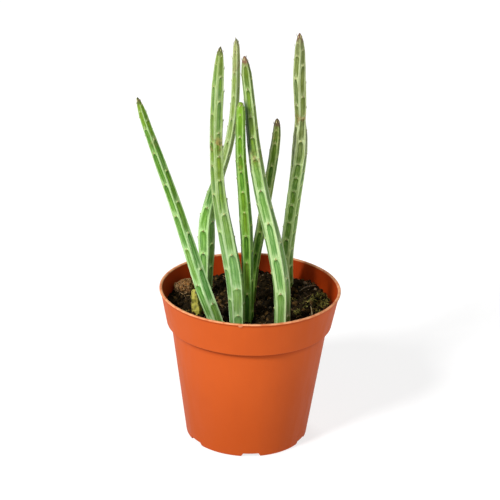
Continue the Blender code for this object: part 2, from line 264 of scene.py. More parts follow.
# %% [markdown]
# ## From bmesh to piece
# A second one rolls up a grid: its columns go once round and its rows go along. That is
# all a stem, a root or a fibre needs, and the grid keeps a tidy UV map for the finish.
# Lumps and crumbs are balls whose points are moved by a function instead.

# %% Piece helpers
CRISP_ANGLE = 38


def mesh_of(bm, name):
    mesh = bpy.data.meshes.new(name)
    bm.to_mesh(mesh)
    bm.free()
    return mesh


def make_piece(bm, name, finish, replaced=()):
    mesh = mesh_of(bm, name)
    mesh.shade_smooth()
    mesh.set_sharp_from_angle(angle=math.radians(CRISP_ANGLE))
    mesh.materials.append(finish)
    piece = put_in_scene(name, mesh)
    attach(piece, "root")
    if replaced:
        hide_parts(*replaced)
    print(f"{name}: {len(mesh.polygons)} faces")
    return piece


def roll_up(columns, rows, place, skin=None):
    """A closed tube from a grid. place(column, row) gives a point in millimetres."""
    bm = bmesh.new()
    uv = bm.loops.layers.uv.new("skin")
    bmesh.ops.create_grid(bm, x_segments=columns, y_segments=rows, size=0.5, calc_uvs=True)
    if skin:
        for corner in [corner for face in bm.faces for corner in face.loops]:
            across, upward = corner[uv].uv
            corner[uv].uv = skin(round(across * columns), round(upward * rows))
    for point in bm.verts:
        column = round((point.co.x + 0.5) * columns)
        row = round((point.co.y + 0.5) * rows)
        point.co = place(column, row) * MM
    bmesh.ops.remove_doubles(bm, verts=bm.verts, dist=0.001 * MM)
    bmesh.ops.holes_fill(bm, edges=[edge for edge in bm.edges if edge.is_boundary], sides=0)
    bmesh.ops.recalc_face_normals(bm, faces=bm.faces)
    return bm


def rough_ball(surface, subdivisions):
    """A ball whose points lie where surface(direction) says."""
    bm = bmesh.new()
    bmesh.ops.create_icosphere(bm, subdivisions=subdivisions, radius=1.0)
    for point in bm.verts:
        point.co = surface(point.co.copy()) * MM
    return bm


def smooth(value, low, high):
    """0 below low, 1 above high, and a smooth step between them."""
    share = min(max((value - low) / (high - low), 0), 1)
    return share * share * (3 - 2 * share)


def gather(shapes, grain=None):
    """Joins many small bmeshes into one; each may get its own random number."""
    whole = bmesh.new()
    whole.verts.layers.float.new("grain")
    for shape in shapes:
        marks = shape.verts.layers.float.new("grain")
        share = grain.random() if grain else 0.5
        for point in shape.verts:
            point[marks] = share
        small = mesh_of(shape, "small")
        whole.from_mesh(small)
        bpy.data.meshes.remove(small)
    return whole


print("helpers ready")

# %% [markdown]
# ## Floor
# A single big grid is enough for a plain floor. It glows a little, like a light table, so
# that the shadows on it stay faint.

# %% Floor
FLOOR_SIZE = 6.0
FLOOR_WHITE = (0.32, 0.32, 0.32, 1.0)
FLOOR_GLOW = 0.76
FLOOR_DROP = 0.05

white_sheet = Recipe("white_sheet")
floor_grain = white_sheet.noise(white_sheet.place, 40.0)
floor_finish = white_sheet.finish(FLOOR_WHITE, 0.9, floor_grain, 0.02,
                                  Emission_Color=(1, 1, 1, 1), Emission_Strength=FLOOR_GLOW)
floor_bm = bmesh.new()
bmesh.ops.create_grid(floor_bm, x_segments=2, y_segments=2, size=FLOOR_SIZE / 2)
floor = put_in_scene("floor", mesh_of(floor_bm, "floor"))
floor.data.materials.append(floor_finish)
floor.location.z = -FLOOR_DROP * MM
floor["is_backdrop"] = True
print("floor", FLOOR_SIZE, "m")

# %% [markdown]
# ## The pot
# A nursery pot is one thin shell of moulded plastic: a tapering body, a wider band with
# a rounded lip, and openings at the edge of the base that let water out. It is a turned
# shape, so its section is drawn once and spun round. Sharp corners would catch no light,
# so a helper rounds each corner of the section by the radius that it is given.

# %% Pot section
POT_HEIGHT = 92.0
RIM_RADIUS = 52.5
POT_WALL = 1.2
LIP_HEIGHT = 1.1
LIP_PROUD = 0.4
BAND_DROP = 21.3
BAND_FOOT_RADIUS = 47.9
BODY_TOP_RADIUS = 45.5
BASE_RADIUS = 35.6
BAND_FOOT = POT_HEIGHT - BAND_DROP
LEDGE = BAND_FOOT + POT_WALL


def band_radius(height):
    share = (height - BAND_FOOT) / BAND_DROP
    return BAND_FOOT_RADIUS + (RIM_RADIUS - LIP_PROUD - BAND_FOOT_RADIUS) * share


def body_radius(height):
    return BASE_RADIUS + (BODY_TOP_RADIUS - BASE_RADIUS) * height / BAND_FOOT


def rounded(corners, steps=5):
    """Rounds the corners of an outline; each corner is (r, z, radius)."""
    outline = []
    for index, (r, z, radius) in enumerate(corners):
        here = Vector((r, z))
        if radius == 0:
            outline.append(here)
            continue
        before = Vector(corners[index - 1][:2])
        after = Vector(corners[index + 1][:2])
        start = here + (before - here).normalized() * radius
        stop = here + (after - here).normalized() * radius
        for step in range(steps + 1):
            t = step / steps
            outline.append(start * (1 - t) ** 2 + here * 2 * t * (1 - t) + stop * t ** 2)
    return outline


def spun(outline, steps):
    """Spins an outline of (r, z) points round the Z axis into a closed shape."""
    bm = bmesh.new()
    points = [bm.verts.new((r * MM, 0, z * MM)) for r, z in outline]
    lines = [bm.edges.new(pair) for pair in zip(points, points[1:])]
    bmesh.ops.spin(bm, geom=points + lines, cent=(0, 0, 0), axis=(0, 0, 1),
                   angle=2 * math.pi, steps=steps, use_merge=True)
    bmesh.ops.remove_doubles(bm, verts=bm.verts, dist=0.005 * MM)
    bmesh.ops.recalc_face_normals(bm, faces=bm.faces)
    return bm


pot_corners = [
    (0, POT_WALL, 0),
    (body_radius(POT_WALL) - POT_WALL, POT_WALL, 1.5),
    (BODY_TOP_RADIUS - POT_WALL, LEDGE, 0.8),
    (band_radius(LEDGE) - POT_WALL, LEDGE, 0.5),
    (RIM_RADIUS - POT_WALL - LIP_PROUD, POT_HEIGHT, 0.75),
    (RIM_RADIUS, POT_HEIGHT, 0.6),
    (RIM_RADIUS, POT_HEIGHT - LIP_HEIGHT, 0.3),
    (band_radius(POT_HEIGHT - LIP_HEIGHT) - 0.05, POT_HEIGHT - LIP_HEIGHT, 0.15),
    (BAND_FOOT_RADIUS, BAND_FOOT, 0.6),
    (BODY_TOP_RADIUS, BAND_FOOT, 0.5),
    (BASE_RADIUS, 0, 1.4),
    (0, 0, 0),
]
print(len(rounded(pot_corners)), "points in the pot's section")

# %% [markdown]
# ### Drain openings and the nub
# The openings are cut with a Boolean modifier, which is then applied, so that the mesh
# itself has them. The small nub under the lip is the mark where the plastic was fed into
# the mould. It is joined on in the same way.

# %% Drain openings and the nub
DRAIN_COUNT = 6
DRAIN_FIRST_ANGLE = 5.0
DRAIN_HEIGHT = 2.3
DRAIN_WIDTH_TOP = 9.0
DRAIN_WIDTH_FOOT = 14.5
DRAIN_REACH_IN = 7.0
DRAIN_REACH_OUT = 4.0
LIP_FOOT = POT_HEIGHT - LIP_HEIGHT
NUB_ANGLE = math.radians(-5.2)
NUB_SIZE = Vector((1.25, 0.5, 0.8))
NUB_PLACE = Vector((
    (RIM_RADIUS - 0.2) * math.sin(NUB_ANGLE),
    -(RIM_RADIUS - 0.2) * math.cos(NUB_ANGLE),
    LIP_FOOT - 0.1,
))


def drain_cutter(angle):
    """A bar with sloping ends, for one opening."""
    bm = bmesh.new()
    bmesh.ops.create_cube(bm, size=1.0)
    size = Vector((DRAIN_REACH_IN + DRAIN_REACH_OUT, DRAIN_WIDTH_FOOT, 2 * DRAIN_HEIGHT))
    bmesh.ops.scale(bm, vec=size * MM, verts=bm.verts)
    for corner in bm.verts:
        if corner.co.z > 0:
            corner.co.y *= DRAIN_WIDTH_TOP / DRAIN_WIDTH_FOOT
    middle = BASE_RADIUS + (DRAIN_REACH_OUT - DRAIN_REACH_IN) / 2
    bmesh.ops.translate(bm, vec=(middle * MM, 0, 0), verts=bm.verts)
    bmesh.ops.rotate(bm, cent=(0, 0, 0), matrix=Matrix.Rotation(angle, 3, "Z"), verts=bm.verts)
    return bm


def moulding_nub():
    bm = bmesh.new()
    bmesh.ops.create_icosphere(bm, subdivisions=3, radius=1.0)
    bmesh.ops.scale(bm, vec=NUB_SIZE * MM, verts=bm.verts)
    bmesh.ops.translate(bm, vec=NUB_PLACE * MM, verts=bm.verts)
    return bm


def combine(piece, bm, operation):
    """Cuts a shape out of a piece or joins it on, with a Boolean modifier that is applied."""
    other = put_in_scene("other_shape", mesh_of(bm, "other_shape"))
    step = piece.modifiers.new(operation, "BOOLEAN")
    step.operation = operation
    step.object = other
    bpy.context.view_layer.update()
    depsgraph = bpy.context.evaluated_depsgraph_get()
    mesh = bpy.data.meshes.new_from_object(piece.evaluated_get(depsgraph))
    piece.modifiers.clear()
    piece.data = mesh
    bpy.data.objects.remove(other)


print(DRAIN_COUNT, "openings,", DRAIN_WIDTH_FOOT, "mm wide at the foot")

# %% [markdown]
# ### The pot's plastic
# The plastic has faint clouds and streaks. Its colour is darker inside the pot, towards
# the foot, and just under the band and the lip, which is painted shade, and paler at the
# lip and the nub, which is partly wear and partly a painted highlight. Each zone is a share
# between 0 and 1, worked out from the height and the depth under the outer face, and mixes
# in one more colour. An image would need a grid of pixels for the same few zones.

# %% Pot plastic
PLASTIC_DEEP = (182, 76, 24)
PLASTIC_BRIGHT = (198, 88, 32)
# Painted shade: the inside, the foot and the places under the band and the lip.
PLASTIC_INSIDE = (166, 48, 2)
PLASTIC_FOOT = (156, 62, 12)
PLASTIC_UNDER = (140, 48, 4)
# Wear and a painted highlight on the lip and the nub.
PLASTIC_WORN = (248, 190, 140)
WORN_SHARE = 0.6

plastic = Recipe("pot_plastic")
cloudy = plastic.noise(plastic.place, 35.0, 3.0)
streaky = plastic.noise(plastic.stretched(plastic.place, (1.0, 1.0, 0.12)), 260.0, 3.0)
grainy = plastic.noise(plastic.place, 1500.0, 2.0)
pot_tone = plastic.math("MULTIPLY_ADD", cloudy, 0.7, plastic.times(streaky, 0.3))
pot_x, pot_y, pot_z = plastic.apart(plastic.place)
from_axis = plastic.node("VectorMath", {0: plastic.joined(pot_x, pot_y, 0.0)}, operation="LENGTH")
band_slope = (RIM_RADIUS - LIP_PROUD - BAND_FOOT_RADIUS) / BAND_DROP
band_face = plastic.math("MULTIPLY_ADD", pot_z, band_slope, band_radius(0) * MM)
depth = plastic.math("SUBTRACT", band_face, from_axis.outputs["Value"])


def zone_under(edge, reach, past):
    """Painted shade just under an edge, which ends so many millimetres below and past it."""
    below = plastic.ease_mm(pot_z, edge - reach, edge, 0.0, 0.7)
    return plastic.times(below, plastic.ease_mm(pot_z, edge + past, edge))


# Painted shade inside the pot and under the lip.
inside_pot = plastic.times(plastic.ease_mm(depth, 0.5, 0.9),
                           plastic.ease_mm(pot_z, BAND_FOOT, LEDGE))
under_lip = plastic.times(zone_under(LIP_FOOT, 1.5, 0.15), plastic.ease_mm(depth, 0.7, 0.4))
at_lip = plastic.ease_mm(pot_z, POT_HEIGHT - 0.9, POT_HEIGHT - 0.4)
at_nub = plastic.ease_mm(plastic.distance(NUB_PLACE), 1.5, 1.0, 0.0, 0.8)
# Wear and a painted highlight, used at the lip and the nub.
worn = plastic.times(plastic.ease(streaky, 0.3, 0.6, 0.4, 1.0), WORN_SHARE)

pot_colour = plastic.mix(pot_tone, PLASTIC_DEEP, PLASTIC_BRIGHT)
# Painted shade inside, towards the foot and under the band and the lip; wear and a painted highlight at
# the lip and the nub.
for zone, tone in (
    (plastic.times(inside_pot, 0.8), PLASTIC_INSIDE),
    (plastic.ease_mm(pot_z, 4, 66, 0.5, 0.0), PLASTIC_FOOT),
    (zone_under(BAND_FOOT, 5, 0.3), PLASTIC_UNDER),
    (under_lip, PLASTIC_UNDER),
    (plastic.times(worn, plastic.math("MAXIMUM", at_lip, at_nub)), PLASTIC_WORN),
):
    pot_colour = plastic.mix(zone, pot_colour, tone)
pot_gloss = plastic.ease(streaky, 0.3, 0.7, 0.48, 0.6)
pot_finish = plastic.finish(pot_colour, pot_gloss, grainy, 0.03, Specular_IOR_Level=0.08)
print("pot plastic:", len(plastic.tree.nodes), "nodes")

# %% [markdown]
# ### The pot itself
# The section is spun in steps of two degrees. A moulded lip is never quite even, so a
# slow noise draws it in and down by a tenth of a millimetre at most.

# %% Pot
SPIN_STEPS = 180
LIP_WAVE = 0.12
LIP_WAVE_SPACING = 22

pot_bm = spun(rounded(pot_corners), SPIN_STEPS)
for point in pot_bm.verts:
    if point.co.z > (LIP_FOOT - 0.5) * MM:
        wave = noise.noise(Vector((point.co.x, point.co.y, 0)) / MM / LIP_WAVE_SPACING)
        point.co.xy *= 1 - LIP_WAVE * abs(wave) / RIM_RADIUS
        point.co.z -= LIP_WAVE * abs(wave) * MM
pot = make_piece(pot_bm, "pot_shell", pot_finish, ["pot"])
for number in range(DRAIN_COUNT):
    angle = math.radians(DRAIN_FIRST_ANGLE + number * 360 / DRAIN_COUNT - 90)
    combine(pot, drain_cutter(angle), "DIFFERENCE")
combine(pot, moulding_nub(), "UNION")
pot.data.shade_smooth()
pot.data.set_sharp_from_angle(angle=math.radians(CRISP_ANGLE))
print("pot:", len(pot.data.polygons), "faces after", DRAIN_COUNT, "openings and a nub")

# %% [markdown]
# ## The stems' plan
# Each stem is one long body with five ribs. Its route starts where it leaves the soil.
# The other three lists pair a distance below the tip with a value there: the stem's
# radius, the leaf spacings counted so far, and the angle of a rib from the viewer's
# side. A small leaf sits at the top of each panel between two ribs. How far apart the
# leaves sit shows how fast the stem grew in that season, so it differs along a stem. The
# leaves of one column sit a fixed share of a spacing higher than those of the column to
# their left. These values are the same as in the plain model, so that the fine stems lie
# exactly where the plain ones do.

# %% Stem plan
SOIL_LEVEL = 80.0
RIBS = 5
LEAF_STEP_ROUND = 0.4
STEM_DEPTH = 14.0
STUB_DEPTH = 9.0
ROOT_LEAN = 0.35

STEMS = {
    "stem_left": {
        "route": [(-17.5, -30.5, 80), (-27, -28.5, 105), (-35.5, -26.5, 130), (-44, -24.5, 155),
                  (-53.2, -22.5, 180), (-59.1, -21.2, 196), (-64.1, -20, 211)],
        "girth": [(0, 0.3), (2.5, 1.1), (5, 1.7), (10, 2.3), (20, 2.55), (40, 3.05), (58, 3.3),
                  (80, 3.6), (98, 3.95), (115, 4.25), (135, 4.3), (150, 4.1)],
        "leaves": [(0, -0.2), (5, 0.9), (13.4, 1.8), (24, 2.8), (80, 5.8), (123.5, 7.8), (178.5, 10.3)],
        "turn": [(0, 12), (60, 8), (100, 5), (135, -6)],
    },
    "stem_centre_left": {
        "route": [(-6.5, -28.5, 80), (-8.5, -25, 105), (-13.5, -21, 130), (-18.5, -17.5, 155),
                  (-20.5, -13.5, 180), (-20.7, -10, 205), (-19.8, -5, 236.4)],
        "girth": [(0, 0.3), (2.5, 1.3), (5, 2.0), (10, 2.65), (20, 3.35), (32, 3.6), (65, 3.75),
                  (94, 4.3), (123, 4.8), (140, 4.7), (155, 4.4), (180, 3.8)],
        "leaves": [(0, -0.3), (5, 0.8), (16, 1.8), (29.3, 2.8), (47, 3.8), (73.2, 5.8), (92.3, 6.8),
                   (116, 7.8), (136, 8.8), (151.3, 9.8), (180, 11.3)],
        "turn": [(0, -10), (40, -18), (65, -17), (150, -28)],
    },
    "stem_back": {
        "route": [(-26.5, 16, 80), (-26.3, 15.2, 105), (-26.4, 14.4, 125), (-23.8, 13.8, 141),
                  (-19, 13.2, 157), (-14.6, 12.6, 174), (-12, 11.8, 193), (-11.3, 11, 213),
                  (-11.5, 10, 237)],
        "girth": [(0, 0.3), (2, 1.2), (5, 1.85), (10, 2.15), (25, 2.4), (55, 2.65), (82, 3.0),
                  (98, 3.7), (110, 4.5), (120, 5.1), (128, 4.9), (142, 4.4), (160, 3.9), (180, 3.6)],
        "leaves": [(0, -0.4), (4, 0.8), (13, 1.8), (102, 8.2), (130.5, 10.2), (180, 13.6)],
        "turn": [(0, 17)],
    },
    "stem_centre": {
        "route": [(-1, -18.5, 80), (-1.6, -18.3, 105), (-2.8, -18, 130), (-5, -17.6, 155),
                  (-7.3, -17, 179), (-8, -16.5, 208.8)],
        "girth": [(0, 0.6), (1.2, 1.5), (3.5, 2.2), (8, 2.6), (22, 2.85), (40, 3.1), (60, 3.45),
                  (72, 3.7), (84, 3.5), (100, 3.35), (150, 3.45)],
        "leaves": [(0, -0.6), (2.5, 0.0), (6.5, 0.8), (19.2, 1.8), (30, 2.8), (38.8, 3.8), (62.5, 5.8),
                   (76.5, 6.8), (92.5, 7.8), (111.5, 8.8), (148, 10.7)],
        "turn": [(0, -40)],
    },
    "stem_centre_right": {
        "route": [(18.5, -28.5, 80), (17.3, -24.5, 105), (12, -20.5, 130), (5, -16, 155.5),
                  (0, -12, 181), (-3.2, -8.5, 206.4), (-6.7, -5, 231.5)],
        "girth": [(0, 0.4), (2, 1.4), (5, 2.15), (10, 2.85), (27, 3.1), (45, 3.5), (60, 3.95),
                  (89, 4.3), (118, 4.9), (150, 4.6), (180, 4.4)],
        "leaves": [(0, -0.3), (5, 0.8), (17.8, 1.8), (33, 2.8), (56.2, 4.8), (74.5, 5.8), (93.3, 6.8),
                   (114, 7.8), (134.5, 8.8), (178, 10.8)],
        "turn": [(0, -39), (100, -39), (120, -45)],
    },
    "stem_slim": {
        "route": [(0.5, 2, 80), (2, 1.5, 105), (5.5, 1.5, 130), (9, 1.5, 155), (12, 2, 180),
                  (12.5, 2, 194)],
        "girth": [(0, 0.4), (2, 1.4), (5, 1.95), (10, 2.4), (20, 2.8), (60, 2.95), (90, 2.8),
                  (113, 2.65), (140, 2.65)],
        "leaves": [(0, -0.2), (5, 1.0), (13.8, 2.2), (27, 3.2), (139, 11.5)],
        "turn": [(0, 30)],
    },
    "stem_right": {
        "route": [(21.5, 25.5, 80), (20.7, 23.3, 103), (22.7, 20.8, 129), (25.6, 17.8, 161),
                  (26.2, 16, 180), (25.4, 14, 200), (24.3, 12.5, 216), (23.4, 10, 241.2)],
        "girth": [(0, 0.3), (2, 1.2), (5, 2.15), (10, 2.9), (20, 3.45), (30, 3.65), (42, 3.5),
                  (51, 3.15), (56, 3.4), (62, 4.1), (72, 4.5), (95, 4.1), (180, 4.0)],
        "leaves": [(0, -0.8), (4, 0.0), (9.3, 0.8), (17.8, 1.8), (36.8, 2.8), (49.6, 3.8), (63.4, 4.8),
                   (78, 5.8), (104.4, 8.8), (126.8, 10.8), (180, 15.5)],
        "turn": [(0, 10), (12, 8), (28, -8), (48, -10), (60, -30), (90, -45), (130, -50)],
    },
}
WITHERED_STUB = {
    "route": [(-30, -14.5, 80), (-31, -13.5, 88), (-32, -12.5, 95)],
    "girth": [(0, 0.8), (1.5, 1.9), (5, 2.6), (12, 2.9), (40, 2.9)],
    "leaves": [(0, 0), (24, 4.5)],
    "turn": [(0, 30)],
}
print(len(STEMS), "stems and a stub")

# %% [markdown]
# ### Along a stem
# A Bezier curve object with a bevel would give a smooth round tube, but not ribs, so the
# route is worked out as a Catmull-Rom curve. It goes through every point that it is
# given, and at each distance along it gives a place, an upward and two sideways
# directions. Angles round a stem are measured from the viewer's side.

# %% Along a stem
ROUTE_PIECES = 12


def smooth_route(points):
    points = [Vector(point) for point in points]
    ends = [2 * points[0] - points[1]] + points + [2 * points[-1] - points[-2]]
    route = []
    for before, start, stop, after in zip(ends, ends[1:], ends[2:], ends[3:]):
        for piece in range(ROUTE_PIECES):
            t = piece / ROUTE_PIECES
            bend = 2 * before - 5 * start + 4 * stop - after
            twist = 3 * start - before - 3 * stop + after
            route.append((2 * start + (stop - before) * t + bend * t ** 2 + twist * t ** 3) / 2)
    route.append(points[-1])
    return route


def along(route, distance):
    """Place, upward, sideways and backward directions at a distance along a route."""
    for start, stop in zip(route, route[1:]):
        length = (stop - start).length
        if distance <= length or stop is route[-1]:
            break
        distance -= length
    upward = (stop - start).normalized()
    sideways = (Vector((1, 0, 0)) - upward * upward.x).normalized()
    return start.lerp(stop, distance / length), upward, sideways, upward.cross(sideways)


def read_off(pairs, value):
    """The second number of such pairs where the first one has this value."""
    for (near, first), (far, second) in zip(pairs, pairs[1:]):
        if value <= far:
            return first + (second - first) * (value - near) / (far - near)
    return pairs[-1][1]


class Stem:
    """A stem's smooth route, and what is found at a distance below its tip."""

    def __init__(self, plan, depth):
        self.plan = plan
        soil_point, next_point = (Vector(point) for point in plan["route"][:2])
        lean = (next_point - soil_point) / (next_point.z - soil_point.z)
        foot = soil_point - Vector((lean.x * ROOT_LEAN, lean.y * ROOT_LEAN, 1)) * depth
        self.depth = depth
        self.route = smooth_route([foot] + plan["route"])
        self.length = sum((stop - start).length for start, stop in zip(self.route, self.route[1:]))
        self.distances = [(count, distance) for distance, count in plan["leaves"]]

    def leaf_count(self, from_tip):
        """Leaf spacings between the tip and here."""
        return read_off(self.plan["leaves"], from_tip)

    def below_tip(self, leaf_count):
        """The distance below the tip at which so many leaf spacings are counted."""
        return read_off(self.distances, leaf_count)

    def skin_point(self, frame_here, turns, from_tip, share):
        """A point on the skin, some rib spacings round and at a share of the girth."""
        centre, _, sideways, backward = frame_here
        angle = turns * 2 * math.pi / RIBS + math.radians(read_off(self.plan["turn"], from_tip))
        outward = math.sin(angle) * sideways - math.cos(angle) * backward
        return centre + outward * read_off(self.plan["girth"], from_tip) * share, outward


stems = {name: Stem(plan, STEM_DEPTH) for name, plan in STEMS.items()}
for name, stem in stems.items():
    print(f"{name}: {stem.length:.0f} mm long, {stem.leaf_count(stem.length):.1f} leaf spacings")

# %% [markdown]
# ### Relief of the skin
# Between two ribs lies a column of long flat panels. Each swells a little on its way up
# and ends in a rounded step under its leaf. That relief is real geometry, because it
# shows in the outline of a stem; only finer streaks are left to the bump of the finish.
# The grid has a point about every half millimetre, each moved out by this function.

# %% Stem mesh
STEM_COLUMNS = 60
ROW_STEP = 0.45
COUNT_ORIGIN = 20
PANEL_FOOT = 0.03
PANEL_TOP = 0.955
PANEL_ARCH = 0.07
STEP_UP = 0.03
FLAT_SHARE = 0.865
SIDE_BULGE = 0.06
RIB_RISE = 0.125
RIB_EDGE = 0.62
SWELL = 0.085
TOOTH = 0.10
TOOTH_TALL = 0.022
TOOTH_WIDE = 0.2
WRINKLES = 0.02
WRINKLE_GRAIN = 0.35
SWELL_SPREAD = 0.5


def relief(across, above_leaf, swell):
    """A stem's radius as a share of its girth: across a panel, and up from leaf to leaf."""
    side = abs(across - 0.5) * 2
    shape = FLAT_SHARE + SIDE_BULGE * side ** 2 + RIB_RISE * smooth(side, RIB_EDGE, 1.0)
    top = PANEL_TOP - PANEL_ARCH * side ** 2
    rise = min(max((above_leaf - PANEL_FOOT) / (top - PANEL_FOOT), 0), 1) ** 1.4
    rise *= 1 - smooth(above_leaf, top, top + STEP_UP)
    shape += swell * rise * (1 - side ** 3)
    tooth = math.exp(-((above_leaf - PANEL_TOP) / TOOTH_TALL) ** 2 - (side / TOOTH_WIDE) ** 2)
    return shape + TOOTH * tooth


def stem_mesh(stem, columns, row_step, swell, wrinkles):
    """The rolled-up grid of one stem; its UV map holds ribs round and leaf spacings up."""
    rows = math.ceil(stem.length / row_step)
    frames = [along(stem.route, stem.length * row / rows) for row in range(rows + 1)]

    def place(column, row):
        from_tip = stem.length * (1 - row / rows)
        sector, across = divmod(column % columns * RIBS / columns, 1)
        lifted = -stem.leaf_count(from_tip) - (sector + 0.5) * LEAF_STEP_ROUND
        leaf, above_leaf = divmod(lifted, 1)
        uneven = noise.noise(Vector((sector * 7.3, leaf * 3.1, stem.length)))
        share = relief(across, above_leaf, swell * (1 + SWELL_SPREAD * uneven)) if row < rows else 0
        turns = column * RIBS / columns
        point, outward = stem.skin_point(frames[row], turns, from_tip, share)
        wrinkle = wrinkles * share * noise.noise(point * WRINKLE_GRAIN)
        return point + outward * read_off(stem.plan["girth"], from_tip) * wrinkle

    def skin(column, row):
        from_tip = stem.length * (1 - row / rows)
        return column * RIBS / columns, COUNT_ORIGIN - stem.leaf_count(from_tip)

    bm = roll_up(columns, rows, place, skin)
    tip = stem.route[-1]
    layer = bm.verts.layers.float.new("from_tip")
    for point in bm.verts:
        point[layer] = (point.co / MM - tip).length
    return bm


sample = relief(0.5, 0.9, SWELL)
print(f"a panel stands at {sample:.2f} of the stem's radius near its top")

# %% [markdown]
# ### Looks of the stems
# The seven stems have one kind of skin in different colours. Each has a dark and a light
# panel colour and a rib colour, for its upper part and for the older skin lower down. The
# other values are the width of a panel in both parts, where the one changes into the
# other, the distance from leaf to leaf, the colours of the young skin and of the dry tip,
# where a rough knot sits and how scabby it is, how far the tip is dry, and a grey bloom.
# Places along a stem are distances from its tip. One stem also has painted shade on one flank.

# %% Stem looks
STEM_LOOKS = {
    "stem_left": {
        "widths": (0.66, 0.62), "upper": ((50, 98, 4), (98, 146, 24)),
        "lower": ((58, 118, 28), (106, 160, 72)), "ribs": ((162, 192, 128), (178, 210, 150)),
        "change": (50, 110), "pitch": 20, "young": (128, 150, 6), "tip": (74, 74, 46),
        "knot": 26, "scabs": 0.25, "brown": 3.5, "greyness": 0.02},
    "stem_centre_left": {
        "widths": (0.52, 0.78), "upper": ((62, 92, 2), (116, 150, 34)),
        "lower": ((78, 128, 46), (136, 180, 96)), "ribs": ((162, 182, 120), (172, 202, 144)),
        "change": (60, 135), "pitch": 20, "young": (134, 146, 66), "tip": (86, 80, 54),
        "knot": 54, "scabs": 0.7, "brown": 4.0, "greyness": 0.06},
    "stem_back": {
        "widths": (0.54, 0.62), "upper": ((104, 128, 40), (156, 178, 96)),
        "lower": ((66, 126, 12), (138, 194, 84)), "ribs": ((184, 202, 146), (188, 222, 152)),
        "change": (70, 100), "pitch": 14, "young": (176, 166, 116), "tip": (96, 98, 68),
        "knot": 17, "scabs": 0.4, "brown": 2.5, "greyness": 0.06},
    "stem_centre": {
        "widths": (0.60, 0.56), "upper": ((62, 108, 4), (104, 152, 28)),
        # The lower colours of this stem, ribs too, are partly painted shade from the stems in front of
        # it.
        "lower": ((26, 64, 0), (70, 120, 10)), "ribs": ((142, 178, 94), (124, 164, 72)),
        "change": (30, 90), "pitch": 14, "young": (140, 184, 48), "tip": (116, 134, 24),
        "knot": 35, "scabs": 0.3, "brown": 1.2, "greyness": 0.0},
    "stem_centre_right": {
        "widths": (0.62, 0.60), "upper": ((60, 90, 0), (116, 148, 34)),
        "lower": ((72, 120, 36), (122, 166, 80)), "ribs": ((172, 192, 130), (182, 206, 146)),
        "change": (45, 80), "pitch": 18, "young": (96, 106, 6), "tip": (128, 88, 72),
        "knot": 57, "scabs": 0.5, "brown": 4.5, "greyness": 0.03, "painted_flank_shade": (26, 56)},
    "stem_slim": {
        "widths": (0.66, 0.56), "upper": ((42, 74, 4), (94, 128, 20)),
        "lower": ((28, 68, 0), (72, 120, 14)), "ribs": ((162, 178, 110), (130, 170, 70)),
        # The lower colours of this stem, ribs too, are partly painted shade from the stems in front of
        # it.
        "change": (50, 90), "pitch": 13, "young": (100, 106, 48), "tip": (86, 64, 50),
        "knot": 12, "scabs": 0.4, "brown": 5.0, "greyness": 0.0},
    "stem_right": {
        "widths": (0.60, 0.58), "upper": ((62, 78, 8), (122, 132, 68)),
        "lower": ((58, 104, 8), (120, 162, 54)), "ribs": ((180, 192, 138), (188, 214, 138)),
        "change": (60, 100), "pitch": 13, "young": (136, 140, 100), "tip": (112, 74, 62),
        "knot": 51, "scabs": 0.6, "brown": 4.5, "greyness": 0.03},
}
print(len(STEM_LOOKS), "sets of colours")

# %% [markdown]
# ### A map of the skin
# The finish follows the ribs and leaves, so it reads the UV map: its first number counts
# ribs round the stem, its second counts leaf spacings up. From these it works out how far
# a point is from its panel's sides and top, roughly in millimetres, and bends the top
# into an arch. A random number for each panel keeps neighbours from looking alike. An
# image could hold all this, but it would blur up close and would have to be drawn for
# each stem. The map is a Recipe with more in it, so it is a subclass.

# %% Skin map
HALF_SECTOR = 2.4
ARCH = 1.7
PANEL_TOP_LINE = PANEL_TOP + 0.004


